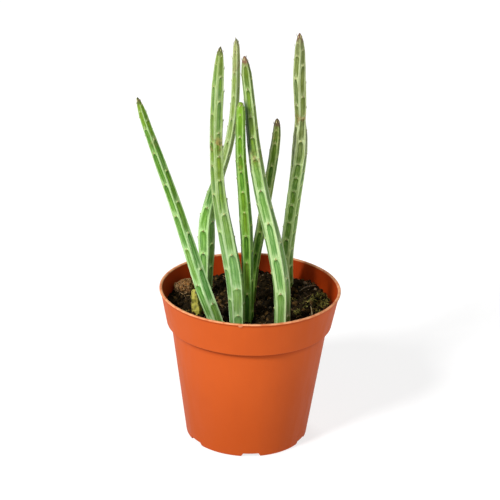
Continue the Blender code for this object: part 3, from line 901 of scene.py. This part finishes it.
class SkinMap(Recipe):
    """A recipe that knows where a point of the skin lies on its stem."""

    def __init__(self, name, looks):
        super().__init__(name)
        self.seed = float(looks["knot"])
        self.from_tip = self.attribute("from_tip")
        self.age = self.ease(self.from_tip, *map(float, looks["change"]))
        self.wander = self.math("SUBTRACT", self.noise(self.place, 420.0, 3.0), 0.5)
        self.patchy = self.noise(self.place, 170.0, 3.0)
        self.mottled = self.noise(self.place, 620.0, 3.0)
        self.count_panels()
        self.measure_panel(looks["widths"], float(looks["pitch"]))

    def count_panels(self):
        """Which panel a point is on, how far up it is there, and the streaks on it."""
        self.round_stem, up, _ = self.apart(self.node("UVMap", uv_map="skin").outputs[0])
        sector = self.math("FLOOR", self.round_stem)
        lifted = self.math("MULTIPLY_ADD", sector, -LEAF_STEP_ROUND, up)
        lifted = self.math("SUBTRACT", lifted, LEAF_STEP_ROUND / 2)
        leaf = self.math("FLOOR", lifted)
        self.above_leaf = self.math("FRACT", lifted)
        self.one_random = self.random_of(sector, leaf)
        self.other_random = self.random_of(leaf, sector)
        self.streaks = self.lengthwise(up, 6.0, 1.1, leaf)
        self.fine_streaks = self.lengthwise(up, 17.0, 1.6, sector)

    def random_of(self, first, second):
        return self.node("TexWhiteNoise", {0: self.joined(first, second, self.seed)}).outputs[0]

    def lengthwise(self, up, closeness, breaks, seed):
        """Lengthwise streaks: so many of them across, and broken so often along."""
        across = self.times(self.round_stem, closeness)
        return self.noise(self.joined(across, self.times(up, breaks), seed), 1.0, 3.0)

    def measure_panel(self, widths, pitch):
        """How far a point is from its panel's sides and top, and the share of green."""
        across = self.times(self.away(self.math("FRACT", self.round_stem), 0.5), 2.0)
        self.side = self.math("MULTIPLY_ADD", self.wander, 0.24, across)
        width = self.math("MULTIPLY_ADD", self.age, widths[1] - widths[0], widths[0] - 0.05)
        width = self.math("MULTIPLY_ADD", self.other_random, 0.10, width)
        from_side = self.times(self.math("SUBTRACT", width, self.side), HALF_SECTOR)
        arch = self.math("POWER", self.math("DIVIDE", self.side, width), 2.2)
        arch = self.times(arch, self.math("MULTIPLY_ADD", self.one_random, ARCH, ARCH / 2))
        top = self.math("MULTIPLY_ADD", self.wander, 0.07, PANEL_TOP_LINE)
        self.from_top = self.times(self.math("SUBTRACT", top, self.above_leaf), pitch)
        under_arch = self.math("SUBTRACT", self.from_top, arch)
        self.inside = self.math("SMOOTH_MIN", from_side, under_arch, 0.5)
        foot = self.math("ADD", self.above_leaf, 0.14)
        foot = self.math("MULTIPLY_ADD", self.streaks, -0.30, foot)
        self.green = self.times(self.ease(self.inside, -0.16, 0.16),
                                self.ease(foot, -0.02, 0.12, 0.3, 1.0))


print("half a panel's column is about", HALF_SECTOR, "mm wide")

# %% [markdown]
# ### Panels and ribs
# A panel is dark under its leaf and along its edges, which is painted shade, brighter and
# streaked in its middle, and fades into the rib skin at its foot. Some panels are a little
# bluish and some are a little yellow. The ribs are pale and waxy, most of all on their
# crests, which are partly wax and partly a painted highlight, and in a thin line over each
# panel's top.

# %% Panels and ribs
BLUISH = (70, 140, 84)
YELLOWISH = (138, 158, 40)
UNDER_LEAF = (44, 66, 8)
WAXY_CREST = (226, 236, 204)


def panel_colour(skin, dark, light, pale):
    # Painted shade: a panel is darker along its edges and just under its top.
    lit = skin.times(skin.ease(skin.inside, 0.0, 0.8, 0.15, 1.0),
                     skin.ease(skin.streaks, 0.38, 0.66, 0.15, 1.0))
    lit = skin.times(lit, skin.ease(skin.from_top, 0.0, 4.5, 0.35, 1.0))
    colour = skin.mix(lit, dark, light)
    bluish = skin.mix(0.12, colour, BLUISH)
    yellowish = skin.mix(0.25, colour, YELLOWISH)
    colour = skin.mix(skin.ease(skin.one_random, 0.60, 1.0), colour, bluish)
    colour = skin.mix(skin.ease(skin.one_random, 0.40, 0.0), colour, yellowish)
    at_foot = skin.times(skin.ease(skin.above_leaf, 0.25, 0.0),
                         skin.ease(skin.streaks, 0.40, 0.62, 0.05, 0.4))
    colour = skin.mix(at_foot, colour, pale)
    pale_streaks = skin.times(skin.ease(skin.fine_streaks, 0.52, 0.70),
                              skin.math("MULTIPLY_ADD", skin.age, 0.25, 0.28))
    colour = skin.mix(pale_streaks, colour, pale)
    colour = skin.mix(skin.ease(skin.mottled, 0.44, 0.30, 0.0, 0.45), colour, dark)
    # Painted shade under the leaf.
    under_leaf = skin.times(skin.ease(skin.from_top, 2.2, 0.3), skin.ease(skin.side, 0.60, 0.10))
    under_leaf = skin.times(under_leaf, skin.ease(skin.one_random, 0.0, 1.0, 0.3, 0.8))
    return skin.mix(under_leaf, colour, UNDER_LEAF)


def rib_colour(skin, light, pale):
    colour = skin.mix(skin.ease(skin.streaks, 0.36, 0.60), skin.mix(0.32, light, pale), pale)
    colour = skin.mix(skin.ease(skin.fine_streaks, 0.50, 0.36, 0.0, 0.65), colour, light)
    # The crests are paler: partly wax and partly a painted highlight.
    crest = skin.times(skin.ease(skin.side, 0.80, 0.97),
                       skin.ease(skin.patchy, 0.35, 0.62, 0.1, 0.9))
    over_panel = skin.times(skin.ease(skin.away(skin.from_top, -0.25), 0.45, 0.10),
                            skin.ease(skin.patchy, 0.35, 0.65, 0.0, 0.4))
    waxy = skin.mix(0.18, pale, WAXY_CREST)
    colour = skin.mix(skin.math("MAXIMUM", crest, over_panel), colour, waxy)
    return skin.mix(skin.ease(skin.mottled, 0.42, 0.28, 0.0, 0.4), colour, light)


print("panels and ribs ready")

# %% [markdown]
# ### Marks on the skin
# Each leaf leaves a scar at the top of its panel. Some scars are still yellowish and some
# are brown, which a random number decides. A knot is a rough brown place. The dark flank
# lies beside a close neighbour and is painted shade: a deeper green mixed into the skin
# where the neighbour keeps the light off, because the lamps alone don't make it.

# %% Marks
OLD_SCAR = (120, 88, 46)
FRESH_SCAR = (184, 182, 104)
KNOT_COLOUR = (164, 130, 76)
SCAB_COLOUR = (92, 70, 26)
FLANK_COLOUR = (30, 62, 0)
FLANK_MIDDLE = 4.5


def with_scars(skin, colour):
    leaf_away = skin.away(skin.from_top, -0.15)
    scar = skin.times(skin.ease(leaf_away, 0.70, 0.15), skin.ease(skin.side, 0.24, 0.08))
    scar_colour = skin.mix(skin.ease(skin.other_random, 0.68, 0.92), FRESH_SCAR, OLD_SCAR)
    return skin.mix(skin.times(scar, 0.8), colour, scar_colour)


def with_knot(skin, colour, knot, scabs):
    knot_away = skin.away(skin.from_tip, float(knot))
    knotty = skin.times(skin.ease(knot_away, 6.5, 1.0, 0.0, scabs),
                        skin.ease(skin.noise(skin.place, 300.0, 3.0), 0.46, 0.60))
    knot_colour = skin.mix(skin.ease(skin.mottled, 0.42, 0.58), SCAB_COLOUR, KNOT_COLOUR)
    return skin.mix(knotty, colour, knot_colour)


def with_dark_flank(skin, colour, start, stop):
    """Paints shade on one flank between two distances from the tip."""
    away = skin.math("SUBTRACT", skin.round_stem, FLANK_MIDDLE)
    away = skin.math("ABSOLUTE", skin.math("WRAP", away, RIBS / 2, -RIBS / 2))
    flank = skin.times(skin.ease(skin.from_tip, start - 5.0, start + 3.0),
                       skin.ease(skin.from_tip, float(stop), stop - 5.0))
    flank = skin.times(flank, skin.ease(away, 0.8, 0.6, 0.0, 0.92))
    return skin.mix(flank, colour, FLANK_COLOUR)


print("marks ready")

# %% [markdown]
# ### Skin of the stems
# Now the whole skin is put together: panels and ribs, then the marks, a grey bloom in
# patches, and the young and the dry skin near the tip. Each stem gets its rolled-up grid
# and its own copy of the recipe.

# %% Stem skins
GREY_BLOOM = (160, 184, 160)
YOUNG_WITHIN = 22.0
SKIN_BUMPS = 0.12


def stem_skin(name, looks):
    skin = SkinMap(name, looks)
    dark, light = (skin.mix(skin.age, *pair) for pair in zip(looks["upper"], looks["lower"]))
    pale = skin.mix(skin.age, *looks["ribs"])
    ribs = rib_colour(skin, light, pale)
    colour = skin.mix(skin.green, ribs, panel_colour(skin, dark, light, pale))
    colour = with_scars(skin, colour)
    colour = with_knot(skin, colour, looks["knot"], looks["scabs"])
    bloom = skin.times(skin.ease(skin.patchy, 0.35, 0.65, 0.3, 1.7), looks["greyness"])
    colour = skin.mix(bloom, colour, GREY_BLOOM)
    # Painted shade on the flank beside a close neighbour.
    if "painted_flank_shade" in looks:
        colour = with_dark_flank(skin, colour, *looks["painted_flank_shade"])
    young = skin.ease(skin.from_tip, YOUNG_WITHIN, 4.0, 0.0, 0.4)
    colour = skin.mix(young, colour, looks["young"])
    tip_line = skin.math("MULTIPLY_ADD", skin.wander, 8.0, skin.from_tip)
    tip = skin.ease(tip_line, looks["brown"] + 2.0, looks["brown"] - 2.0, 0.0, 0.9)
    colour = skin.mix(tip, colour, looks["tip"])

    height = skin.math("MULTIPLY_ADD", skin.fine_streaks, 0.5, skin.times(skin.mottled, 0.6))
    height = skin.math("MULTIPLY_ADD", skin.green, -0.8, height)
    gloss = skin.ease(skin.patchy, 0.3, 0.7, 0.40, 0.56)
    return skin.finish(colour, gloss, height, SKIN_BUMPS, Specular_IOR_Level=0.12)


for name, stem in stems.items():
    stem_bm = stem_mesh(stem, STEM_COLUMNS, ROW_STEP, SWELL, WRINKLES)
    finish = stem_skin(name + "_skin", STEM_LOOKS[name])
    make_piece(stem_bm, name + "_skin", finish, [name])

# %% [markdown]
# ### Dried leaves
# The leaves of this plant are tiny. They soon dry and stay as small brown points on the
# teeth of the stem, longest near the tip. Each is a ball with few faces, stretched and
# pinched into a point, because hundreds of them are needed. Those of one stem are joined
# in one piece.

# %% Dried leaves
LEAF_LENGTH = 1.3
LEAF_WIDTH = 0.36
LEAF_THICKNESS = 0.2
LEAF_CURL = 0.22
LEAF_SUNK = 0.93
LEAF_OVER_SOIL = 2
APEX_LEAVES = 5
APEX_DROP = 2.6


def dried_leaf(base, direction, outward, length):
    """A pointed scale that starts at a base and bends in along the stem."""
    bm = bmesh.new()
    bmesh.ops.create_uvsphere(bm, u_segments=6, v_segments=6, radius=1.0)
    across = direction.cross(outward).normalized()
    face = across.cross(direction)
    for point in bm.verts:
        up = (point.co.z + 1) / 2
        pinch = (1 - up) ** 0.7
        curl = -LEAF_CURL * length * up ** 2
        offset = direction * (up * length) + across * (point.co.x * LEAF_WIDTH * pinch)
        offset += face * (point.co.y * LEAF_THICKNESS * pinch + curl)
        point.co = (base + offset) * MM
    return bm


def leaves_of(stem, draw):
    shapes = []
    first = math.floor(stem.leaf_count(0))
    last = math.ceil(stem.leaf_count(stem.length)) + 3
    for sector in range(RIBS):
        for number in range(first, last):
            count = number + 1 - PANEL_TOP - (sector + 0.5) * LEAF_STEP_ROUND
            from_tip = stem.below_tip(count)
            lowest = stem.length - stem.depth - LEAF_OVER_SOIL
            if count < stem.leaf_count(0) + 0.3 or from_tip > lowest:
                continue
            frame_here = along(stem.route, stem.length - from_tip)
            share = relief(0.5, PANEL_TOP, SWELL) * LEAF_SUNK
            base, outward = stem.skin_point(frame_here, sector + 0.5, from_tip, share)
            direction = (frame_here[1] + outward * draw.uniform(0.25, 0.6)).normalized()
            age_share = 1 + 0.6 * smooth(from_tip, 40, 5) - 0.4 * smooth(from_tip, 50, 90)
            length = LEAF_LENGTH * draw.uniform(0.6, 1.1) * age_share
            shapes.append(dried_leaf(base, direction, outward, length))
    frame_here = along(stem.route, stem.length - APEX_DROP)
    for number in range(APEX_LEAVES):
        base, outward = stem.skin_point(frame_here, number + 0.3, APEX_DROP, 0.9)
        direction = (frame_here[1] - outward * draw.uniform(0.1, 0.3)).normalized()
        shapes.append(dried_leaf(base, direction, outward, APEX_DROP * draw.uniform(0.6, 0.9)))
    return shapes


dry = Recipe("dried_leaf")
dry_noise = dry.noise(dry.place, 1800.0, 3.0)
dry_tone = dry.math("ADD", dry.times(dry_noise, 0.5), dry.times(dry.attribute("grain"), 0.5))
dry_colour = dry.mix(dry.ease(dry_tone, 0.25, 0.60), (112, 88, 56), (184, 182, 124))
dry_finish = dry.finish(dry_colour, 0.75, dry_noise, 0.05)

leaf_draw = random.Random(5)
for name, stem in stems.items():
    shapes = leaves_of(stem, leaf_draw)
    make_piece(gather(shapes, leaf_draw), name + "_dried_leaves", dry_finish)

# %% [markdown]
# ### Withered stub
# One old stem has died back to a short yellow stub. It uses the same grid as the green
# stems, with hardly any swelling and deep wrinkles.

# %% Withered stub
STUB_GRID = (50, 0.3)
STUB_SWELL = 0.04
STUB_WRINKLES = 0.25

stub = Stem(WITHERED_STUB, STUB_DEPTH)
withered = Recipe("withered_skin")
blotches = withered.noise(withered.place, 330.0, 3.0)
withered_colour = withered.mix(withered.ease(blotches, 0.35, 0.6), (92, 96, 24), (186, 178, 70))
rot = withered.times(withered.spots(withered.place, 420.0, 0.16, 0.4), 0.7)
withered_colour = withered.mix(rot, withered_colour, (74, 58, 26))
withered_finish = withered.finish(withered_colour, 0.7, blotches, 0.3)
stub_bm = stem_mesh(stub, *STUB_GRID, STUB_SWELL, STUB_WRINKLES)
make_piece(stub_bm, "withered_stub_skin", withered_finish, ["withered_stub"])

# %% [markdown]
# ## The soil
# Potting soil is peat with lumps of all sizes. The bed is one spun shape whose top is
# pushed up and down by noise: broad mounds as in the plain model, then clods, then
# crumbs. Real loose crumbs and fibres lie on it, each a few faces. A displaced plane
# alone would look like felt, and a real heap of grains would take millions of faces.

# %% Soil bed
SOIL_LUMPS = 1.9
SOIL_LUMP_SPACING = 8.0
SOIL_MOUNDS = [
    (-37, 19, 3.0, 11),
    (31, 27, 2.6, 10),
    (0, 42, 2.2, 14),
    (46, 6, -3.4, 9),
    (-44, -8, -1.6, 9),
]
CLODS = [(6.0, 2.0), (2.8, 1.6), (1.3, 0.8)]
SOIL_CLEAR = 1.5
SOIL_RINGS = 80
SOIL_STEPS = 240
BED_TOP_RADIUS = band_radius(SOIL_LEVEL) - SOIL_CLEAR
BED_FOOT = 3.5
BED_FOOT_RADIUS = body_radius(BED_FOOT) - SOIL_CLEAR
BED_UNDERSIDE = 1.5


def soil_height(x, y):
    """The same broad shape as the plain soil."""
    height = SOIL_LEVEL + SOIL_LUMPS * noise.noise(Vector((x, y, 20)) / SOIL_LUMP_SPACING)
    for mound_x, mound_y, rise, radius in SOIL_MOUNDS:
        apart = ((x - mound_x) ** 2 + (y - mound_y) ** 2) / radius ** 2
        height += rise * math.exp(-apart)
    return height


def rough_height(x, y):
    """The soil's top with its clods and crumbs."""
    height = soil_height(x, y)
    for spacing, size in CLODS:
        height += size * noise.noise(Vector((x, y, 3 * spacing)) / spacing)
    return height


def make_soil_bed():
    outline = [(BED_TOP_RADIUS * ring / SOIL_RINGS, SOIL_LEVEL) for ring in range(SOIL_RINGS + 1)]
    outline += [
        (band_radius(LEDGE + 0.8) - SOIL_CLEAR, LEDGE + 0.8),
        (BODY_TOP_RADIUS - SOIL_CLEAR, LEDGE),
        (BED_FOOT_RADIUS, BED_FOOT),
        (BED_FOOT_RADIUS - 2.0, BED_UNDERSIDE),
        (0, BED_UNDERSIDE),
    ]
    bm = spun(outline, SOIL_STEPS)
    for point in bm.verts:
        x, y, z = point.co / MM
        if z > SOIL_LEVEL - 0.3:
            height = rough_height(x, y)
            squeeze = min(band_radius(height) / band_radius(SOIL_LEVEL), 1)
            point.co = Vector((x * squeeze, y * squeeze, height)) * MM
    return bm


peat = Recipe("peat")
clumps = peat.noise(peat.place, 500.0, 4.0)
grains = peat.noise(peat.place, 1700.0, 3.0)
peat_colour = peat.mix(peat.ease(clumps, 0.38, 0.72), (14, 11, 4), (50, 38, 18))
bits = peat.times(peat.spots(peat.place, 900.0, 0.05, 0.2), 0.5)
peat_colour = peat.mix(bits, peat_colour, (112, 84, 56))
peat_bumps = peat.math("ADD", clumps, grains)
peat_finish = peat.finish(peat_colour, 0.95, peat_bumps, 0.5, Specular_IOR_Level=0.08)
make_piece(make_soil_bed(), "soil_bed", peat_finish, ["soil"])

# %% [markdown]
# ### Crumbs
# Crumbs are rough balls of 20 faces, most of them small. They keep away from the pot's
# wall, and each has its own random number, which the finish turns into a tone: most are
# nearly black, some are brown and very few are pale.

# %% Crumbs
CRUMBS = 2400
CRUMB_SMALLEST = 0.34
CRUMB_SPREAD = 1.5
BED_RADIUS = 47.0


def anywhere_on_soil(draw):
    """A random place on the bed, even over its area."""
    radius = BED_RADIUS * math.sqrt(draw.random())
    angle = draw.uniform(0, 2 * math.pi)
    return radius * math.cos(angle), radius * math.sin(angle)


def loose_crumb(draw):
    x, y = anywhere_on_soil(draw)
    size = CRUMB_SMALLEST + CRUMB_SPREAD * draw.random() ** 3.5
    centre = Vector((x, y, rough_height(x, y) + size * 0.25))
    turn = Quaternion([draw.gauss(0, 1) for _ in range(4)]).normalized()
    stretch = Vector([draw.uniform(0.6, 1.3) for _ in range(3)])

    def surface(direction):
        return centre + turn @ (direction * stretch * draw.uniform(0.75, 1.2)) * size

    return rough_ball(surface, 1)


loose = Recipe("loose_crumbs")
crumb_noise = loose.noise(loose.place, 1400.0, 3.0)
crumb_grain = loose.attribute("grain")
crumb_dark = loose.mix(crumb_noise, (16, 12, 5), (50, 38, 18))
crumb_brown = loose.mix(crumb_noise, (58, 42, 16), (110, 82, 44))
crumb_pale = loose.mix(crumb_noise, (96, 84, 66), (158, 142, 114))
crumb_colour = loose.mix(loose.ease(crumb_grain, 0.60, 0.92), crumb_dark, crumb_brown)
crumb_colour = loose.mix(loose.ease(crumb_grain, 0.95, 0.98), crumb_colour, crumb_pale)
crumb_finish = loose.finish(crumb_colour, 0.92, crumb_noise, 0.2, Specular_IOR_Level=0.1)

soil_draw = random.Random(11)
crumbs = [loose_crumb(soil_draw) for _ in range(CRUMBS)]
make_piece(gather(crumbs, soil_draw), "peat_crumbs", crumb_finish)

# %% [markdown]
# ### Fibres
# A fibre is a thin rolled-up grid along a few random points, four faces round. The same
# strand makes the hairs of the coir lump, the moss, the roots and the twig. All of them
# but the moss also share one simple finish: two tones and a fine bump.

# %% Fibres
FIBRES = 170


def strand(points, thickness, sides=4, rows=7, taper=0.4):
    """A thin round strand along a smooth route, thinner towards its ends."""
    route = smooth_route(points)
    length = sum((stop - start).length for start, stop in zip(route, route[1:]))
    places = [along(route, length * row / rows) for row in range(rows + 1)]

    def place(column, row):
        centre, _, sideways, backward = places[row]
        angle = 2 * math.pi * column / sides
        slim = 1 - taper * abs(2 * row / rows - 1) ** 2
        return centre + (math.cos(angle) * sideways + math.sin(angle) * backward) * thickness * slim

    return roll_up(sides, rows, place)


def strand_finish(name, dark, pale, scale=900.0, detail=2.0, roughness=0.85, bumps=0.05,
                  lone=False):
    """Two tones and a fine bump; a lone strand changes tone along its length."""
    recipe = Recipe(name)
    fine = recipe.noise(recipe.place, scale, detail)
    tone = fine if lone else recipe.attribute("grain")
    return recipe.finish(recipe.mix(tone, dark, pale), roughness, fine, bumps)


def soil_fibre(draw):
    x, y = anywhere_on_soil(draw)
    heading = draw.uniform(0, 2 * math.pi)
    step = draw.uniform(0.9, 3.2)
    points = []
    for _ in range(4):
        reach = math.hypot(x, y)
        if reach > BED_RADIUS:
            x, y = x * BED_RADIUS / reach, y * BED_RADIUS / reach
        points.append((x, y, rough_height(x, y) + draw.uniform(0.0, 0.9)))
        heading += draw.uniform(-0.9, 0.9)
        x += step * math.cos(heading)
        y += step * math.sin(heading)
    return strand(points, draw.uniform(0.07, 0.16))


hair_finish = strand_finish("soil_fibre", (72, 48, 28), (168, 132, 86))
fibres = [soil_fibre(soil_draw) for _ in range(FIBRES)]
make_piece(gather(fibres, soil_draw), "soil_fibres", hair_finish)

# %% [markdown]
# ### Coir lump
# By the left wall lies a lump of coconut fibre. A ball with many faces gets a rough
# surface and a top that slopes down to the left, and short strands wrap round it in all
# directions. Its finish is darker towards its lower left side.

# %% Coir lump
LUMP_CENTRE = Vector((-38.5, 15.5, 84.5))
LUMP_RADII = Vector((5.4, 5.8, 3.8))
LUMP_BUMPS = [(0.3, 2.2), (0.10, 7), (0.05, 17)]
LUMP_SLOPE = 0.4
LUMP_STRANDS = 150


def roughness(direction, bumps):
    """About 1, more or less by bumps, which pair a size with how fine they are."""
    share = 1
    for size, grain in bumps:
        share += size * noise.noise(direction * grain)
    return share


def lump_surface(direction):
    """A point of the lump's surface in a direction from its centre."""
    offset = LUMP_RADII * roughness(direction, LUMP_BUMPS) * direction
    if offset.z > 0:
        offset.z *= 1 + LUMP_SLOPE * min(direction.x, 0.2)
    return LUMP_CENTRE + offset


def any_direction(draw):
    return Vector([draw.gauss(0, 1) for _ in range(3)]).normalized()


def lump_strand(draw):
    start = any_direction(draw)
    axis = any_direction(draw)
    points = []
    for step in range(4):
        direction = Quaternion(axis, step * draw.uniform(0.15, 0.35)) @ start
        surface = lump_surface(direction)
        points.append(surface + direction * draw.uniform(0.0, 0.7))
    return strand(points, draw.uniform(0.08, 0.17))


coir = Recipe("coir_lump")
coir_noise = coir.noise(coir.place, 700.0, 4.0)
coir_colour = coir.mix(coir.ease(coir_noise, 0.3, 0.7), (50, 32, 14), (160, 112, 64))
lump_x, _, lump_z = coir.apart(coir.place)
lump_right = coir.math("SUBTRACT", lump_x, LUMP_CENTRE.x * MM)
# Darker towards the lump's lower left side.
dirt = coir.math("MULTIPLY_ADD", lump_right, 0.5, lump_z)
dirt = coir.math("MULTIPLY_ADD", coir_noise, 5 * MM, dirt)
dirt = coir.ease_mm(dirt, LUMP_CENTRE.z + 4.0, LUMP_CENTRE.z + 1.0, 0.0, 0.9)
coir_colour = coir.mix(dirt, coir_colour, (44, 30, 14))
coir_finish = coir.finish(coir_colour, 0.92, coir_noise, 0.5, Specular_IOR_Level=0.1)
make_piece(rough_ball(lump_surface, 5), "coir_lump", coir_finish, ["fibre_lump"])

coir_hair_finish = strand_finish("coir_strand", (92, 62, 32), (206, 166, 112))
lump_draw = random.Random(23)
lump_strands = [lump_strand(lump_draw) for _ in range(LUMP_STRANDS)]
make_piece(gather(lump_strands, lump_draw), "coir_strands", coir_hair_finish)

# %% [markdown]
# ### Moss
# A clump of wiry moss grows at the right, and more of it creeps over the soil between
# there and the middle. The clump is a rough ball with a heap of curled strands on it.
# They start at the ball or at the soil and bend outwards. The finish is darkest near the
# clump's middle, where light would hardly reach.

# %% Moss
MOSS_CENTRE = Vector((41.6, 3.5, 81.2))
MOSS_RADII = Vector((3.6, 5.4, 4.2))
MOSS_BUMPS = [(0.3, 2.4), (0.22, 6)]
MOSS_STRANDS = 420
CREEPING_CENTRES = [
    (36, 9, 4.5), (33, 1, 4.5), (39, -9, 3.5), (24, 10, 4), (28, -9, 3.5), (-38, -14, 4),
]
CREEPING_STRANDS = 330


def moss_surface(direction):
    """A point of the clump's surface in a direction from its centre."""
    return MOSS_CENTRE + MOSS_RADII * roughness(direction, MOSS_BUMPS) * direction


def curled_strand(base, heading, draw):
    points = [base]
    for _ in range(3):
        heading = (heading + Vector([draw.uniform(-0.8, 0.8) for _ in range(3)])).normalized()
        points.append(points[-1] + heading * draw.uniform(0.5, 1.1))
    return strand(points, draw.uniform(0.10, 0.22))


def clump_strand(draw):
    direction = Vector((draw.gauss(0, 1), draw.gauss(0, 1), abs(draw.gauss(0, 1)))).normalized()
    return curled_strand(moss_surface(direction) - direction * 0.5, direction, draw)


def creeping_strand(draw):
    x, y, spread = draw.choice(CREEPING_CENTRES)
    x += draw.gauss(0, spread / 2)
    y += draw.gauss(0, spread / 2)
    base = Vector((x, y, rough_height(x, y) - 0.2))
    heading = Vector((draw.gauss(0, 1), draw.gauss(0, 1), draw.uniform(0.2, 1.2))).normalized()
    return curled_strand(base, heading, draw)


moss = Recipe("moss")
moss_noise = moss.noise(moss.place, 500.0, 3.0)
outermost = moss.ease_mm(moss.distance(MOSS_CENTRE), 3.6, 6.5, 0.35, 1.0)
moss_tone = moss.times(moss.attribute("grain"), 0.7)
moss_tone = moss.times(moss.math("MULTIPLY_ADD", moss_noise, 0.8, moss_tone), outermost)
moss_colour = moss.mix(moss.ease(moss_tone, 0.35, 0.95), (22, 20, 6), (158, 152, 76))
moss_finish = moss.finish(moss_colour, 0.8, moss_noise, 0.3, Specular_IOR_Level=0.15)
moss_draw = random.Random(31)
moss_parts = [rough_ball(moss_surface, 4)]
moss_parts += [clump_strand(moss_draw) for _ in range(MOSS_STRANDS)]
moss_parts += [creeping_strand(moss_draw) for _ in range(CREEPING_STRANDS)]
make_piece(gather(moss_parts, moss_draw), "moss_tuft", moss_finish)

# %% [markdown]
# ### Roots and a twig
# Two pale roots stick out of the soil, and a twig lies at the back. They are seen on
# their own, so their strands have more sides and rows than a fibre.

# %% Roots and a twig
PALE_ROOTS = [
    [(36.2, -10.6, 78.5), (35.9, -10.8, 81.5), (35.5, -10.9, 84.0), (34.9, -11.0, 85.9)],
    [(27.5, 33.0, 81.0), (26.2, 33.4, 83.2), (24.8, 33.2, 84.2), (23.6, 32.6, 83.6)],
]
ROOT_THICKNESS = 0.42
TWIG = [(29.0, 18.4, 82.0), (32.0, 20.0, 83.6), (35.5, 22.3, 84.0), (38.8, 24.2, 83.4)]
TWIG_THICKNESS = 0.38
FINE_GRID = {"sides": 10, "rows": 24}

root_finish = strand_finish("pale_root", (186, 166, 108), (232, 222, 176),
                            scale=600.0, detail=3.0, roughness=0.6, bumps=0.1, lone=True)
roots = [strand(points, ROOT_THICKNESS, taper=0.6, **FINE_GRID) for points in PALE_ROOTS]
make_piece(gather(roots), "pale_roots", root_finish)
bark_finish = strand_finish("twig_bark", (60, 46, 30), (124, 108, 82),
                            detail=3.0, bumps=0.2, lone=True)
make_piece(strand(TWIG, TWIG_THICKNESS, **FINE_GRID), "twig", bark_finish)

# %% [markdown]
# ## Sizes
# The sizes of the plain and the dressed model's boxes are printed.

# %% Sizes
dressed_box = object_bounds()
sizes = {
    "cad": [list(corner) for corner in cad_box],
    "visual": [list(corner) for corner in dressed_box],
}
for label, box in sizes.items():
    print(label, [round((high - low) / MM, 1) for low, high in zip(*box)])
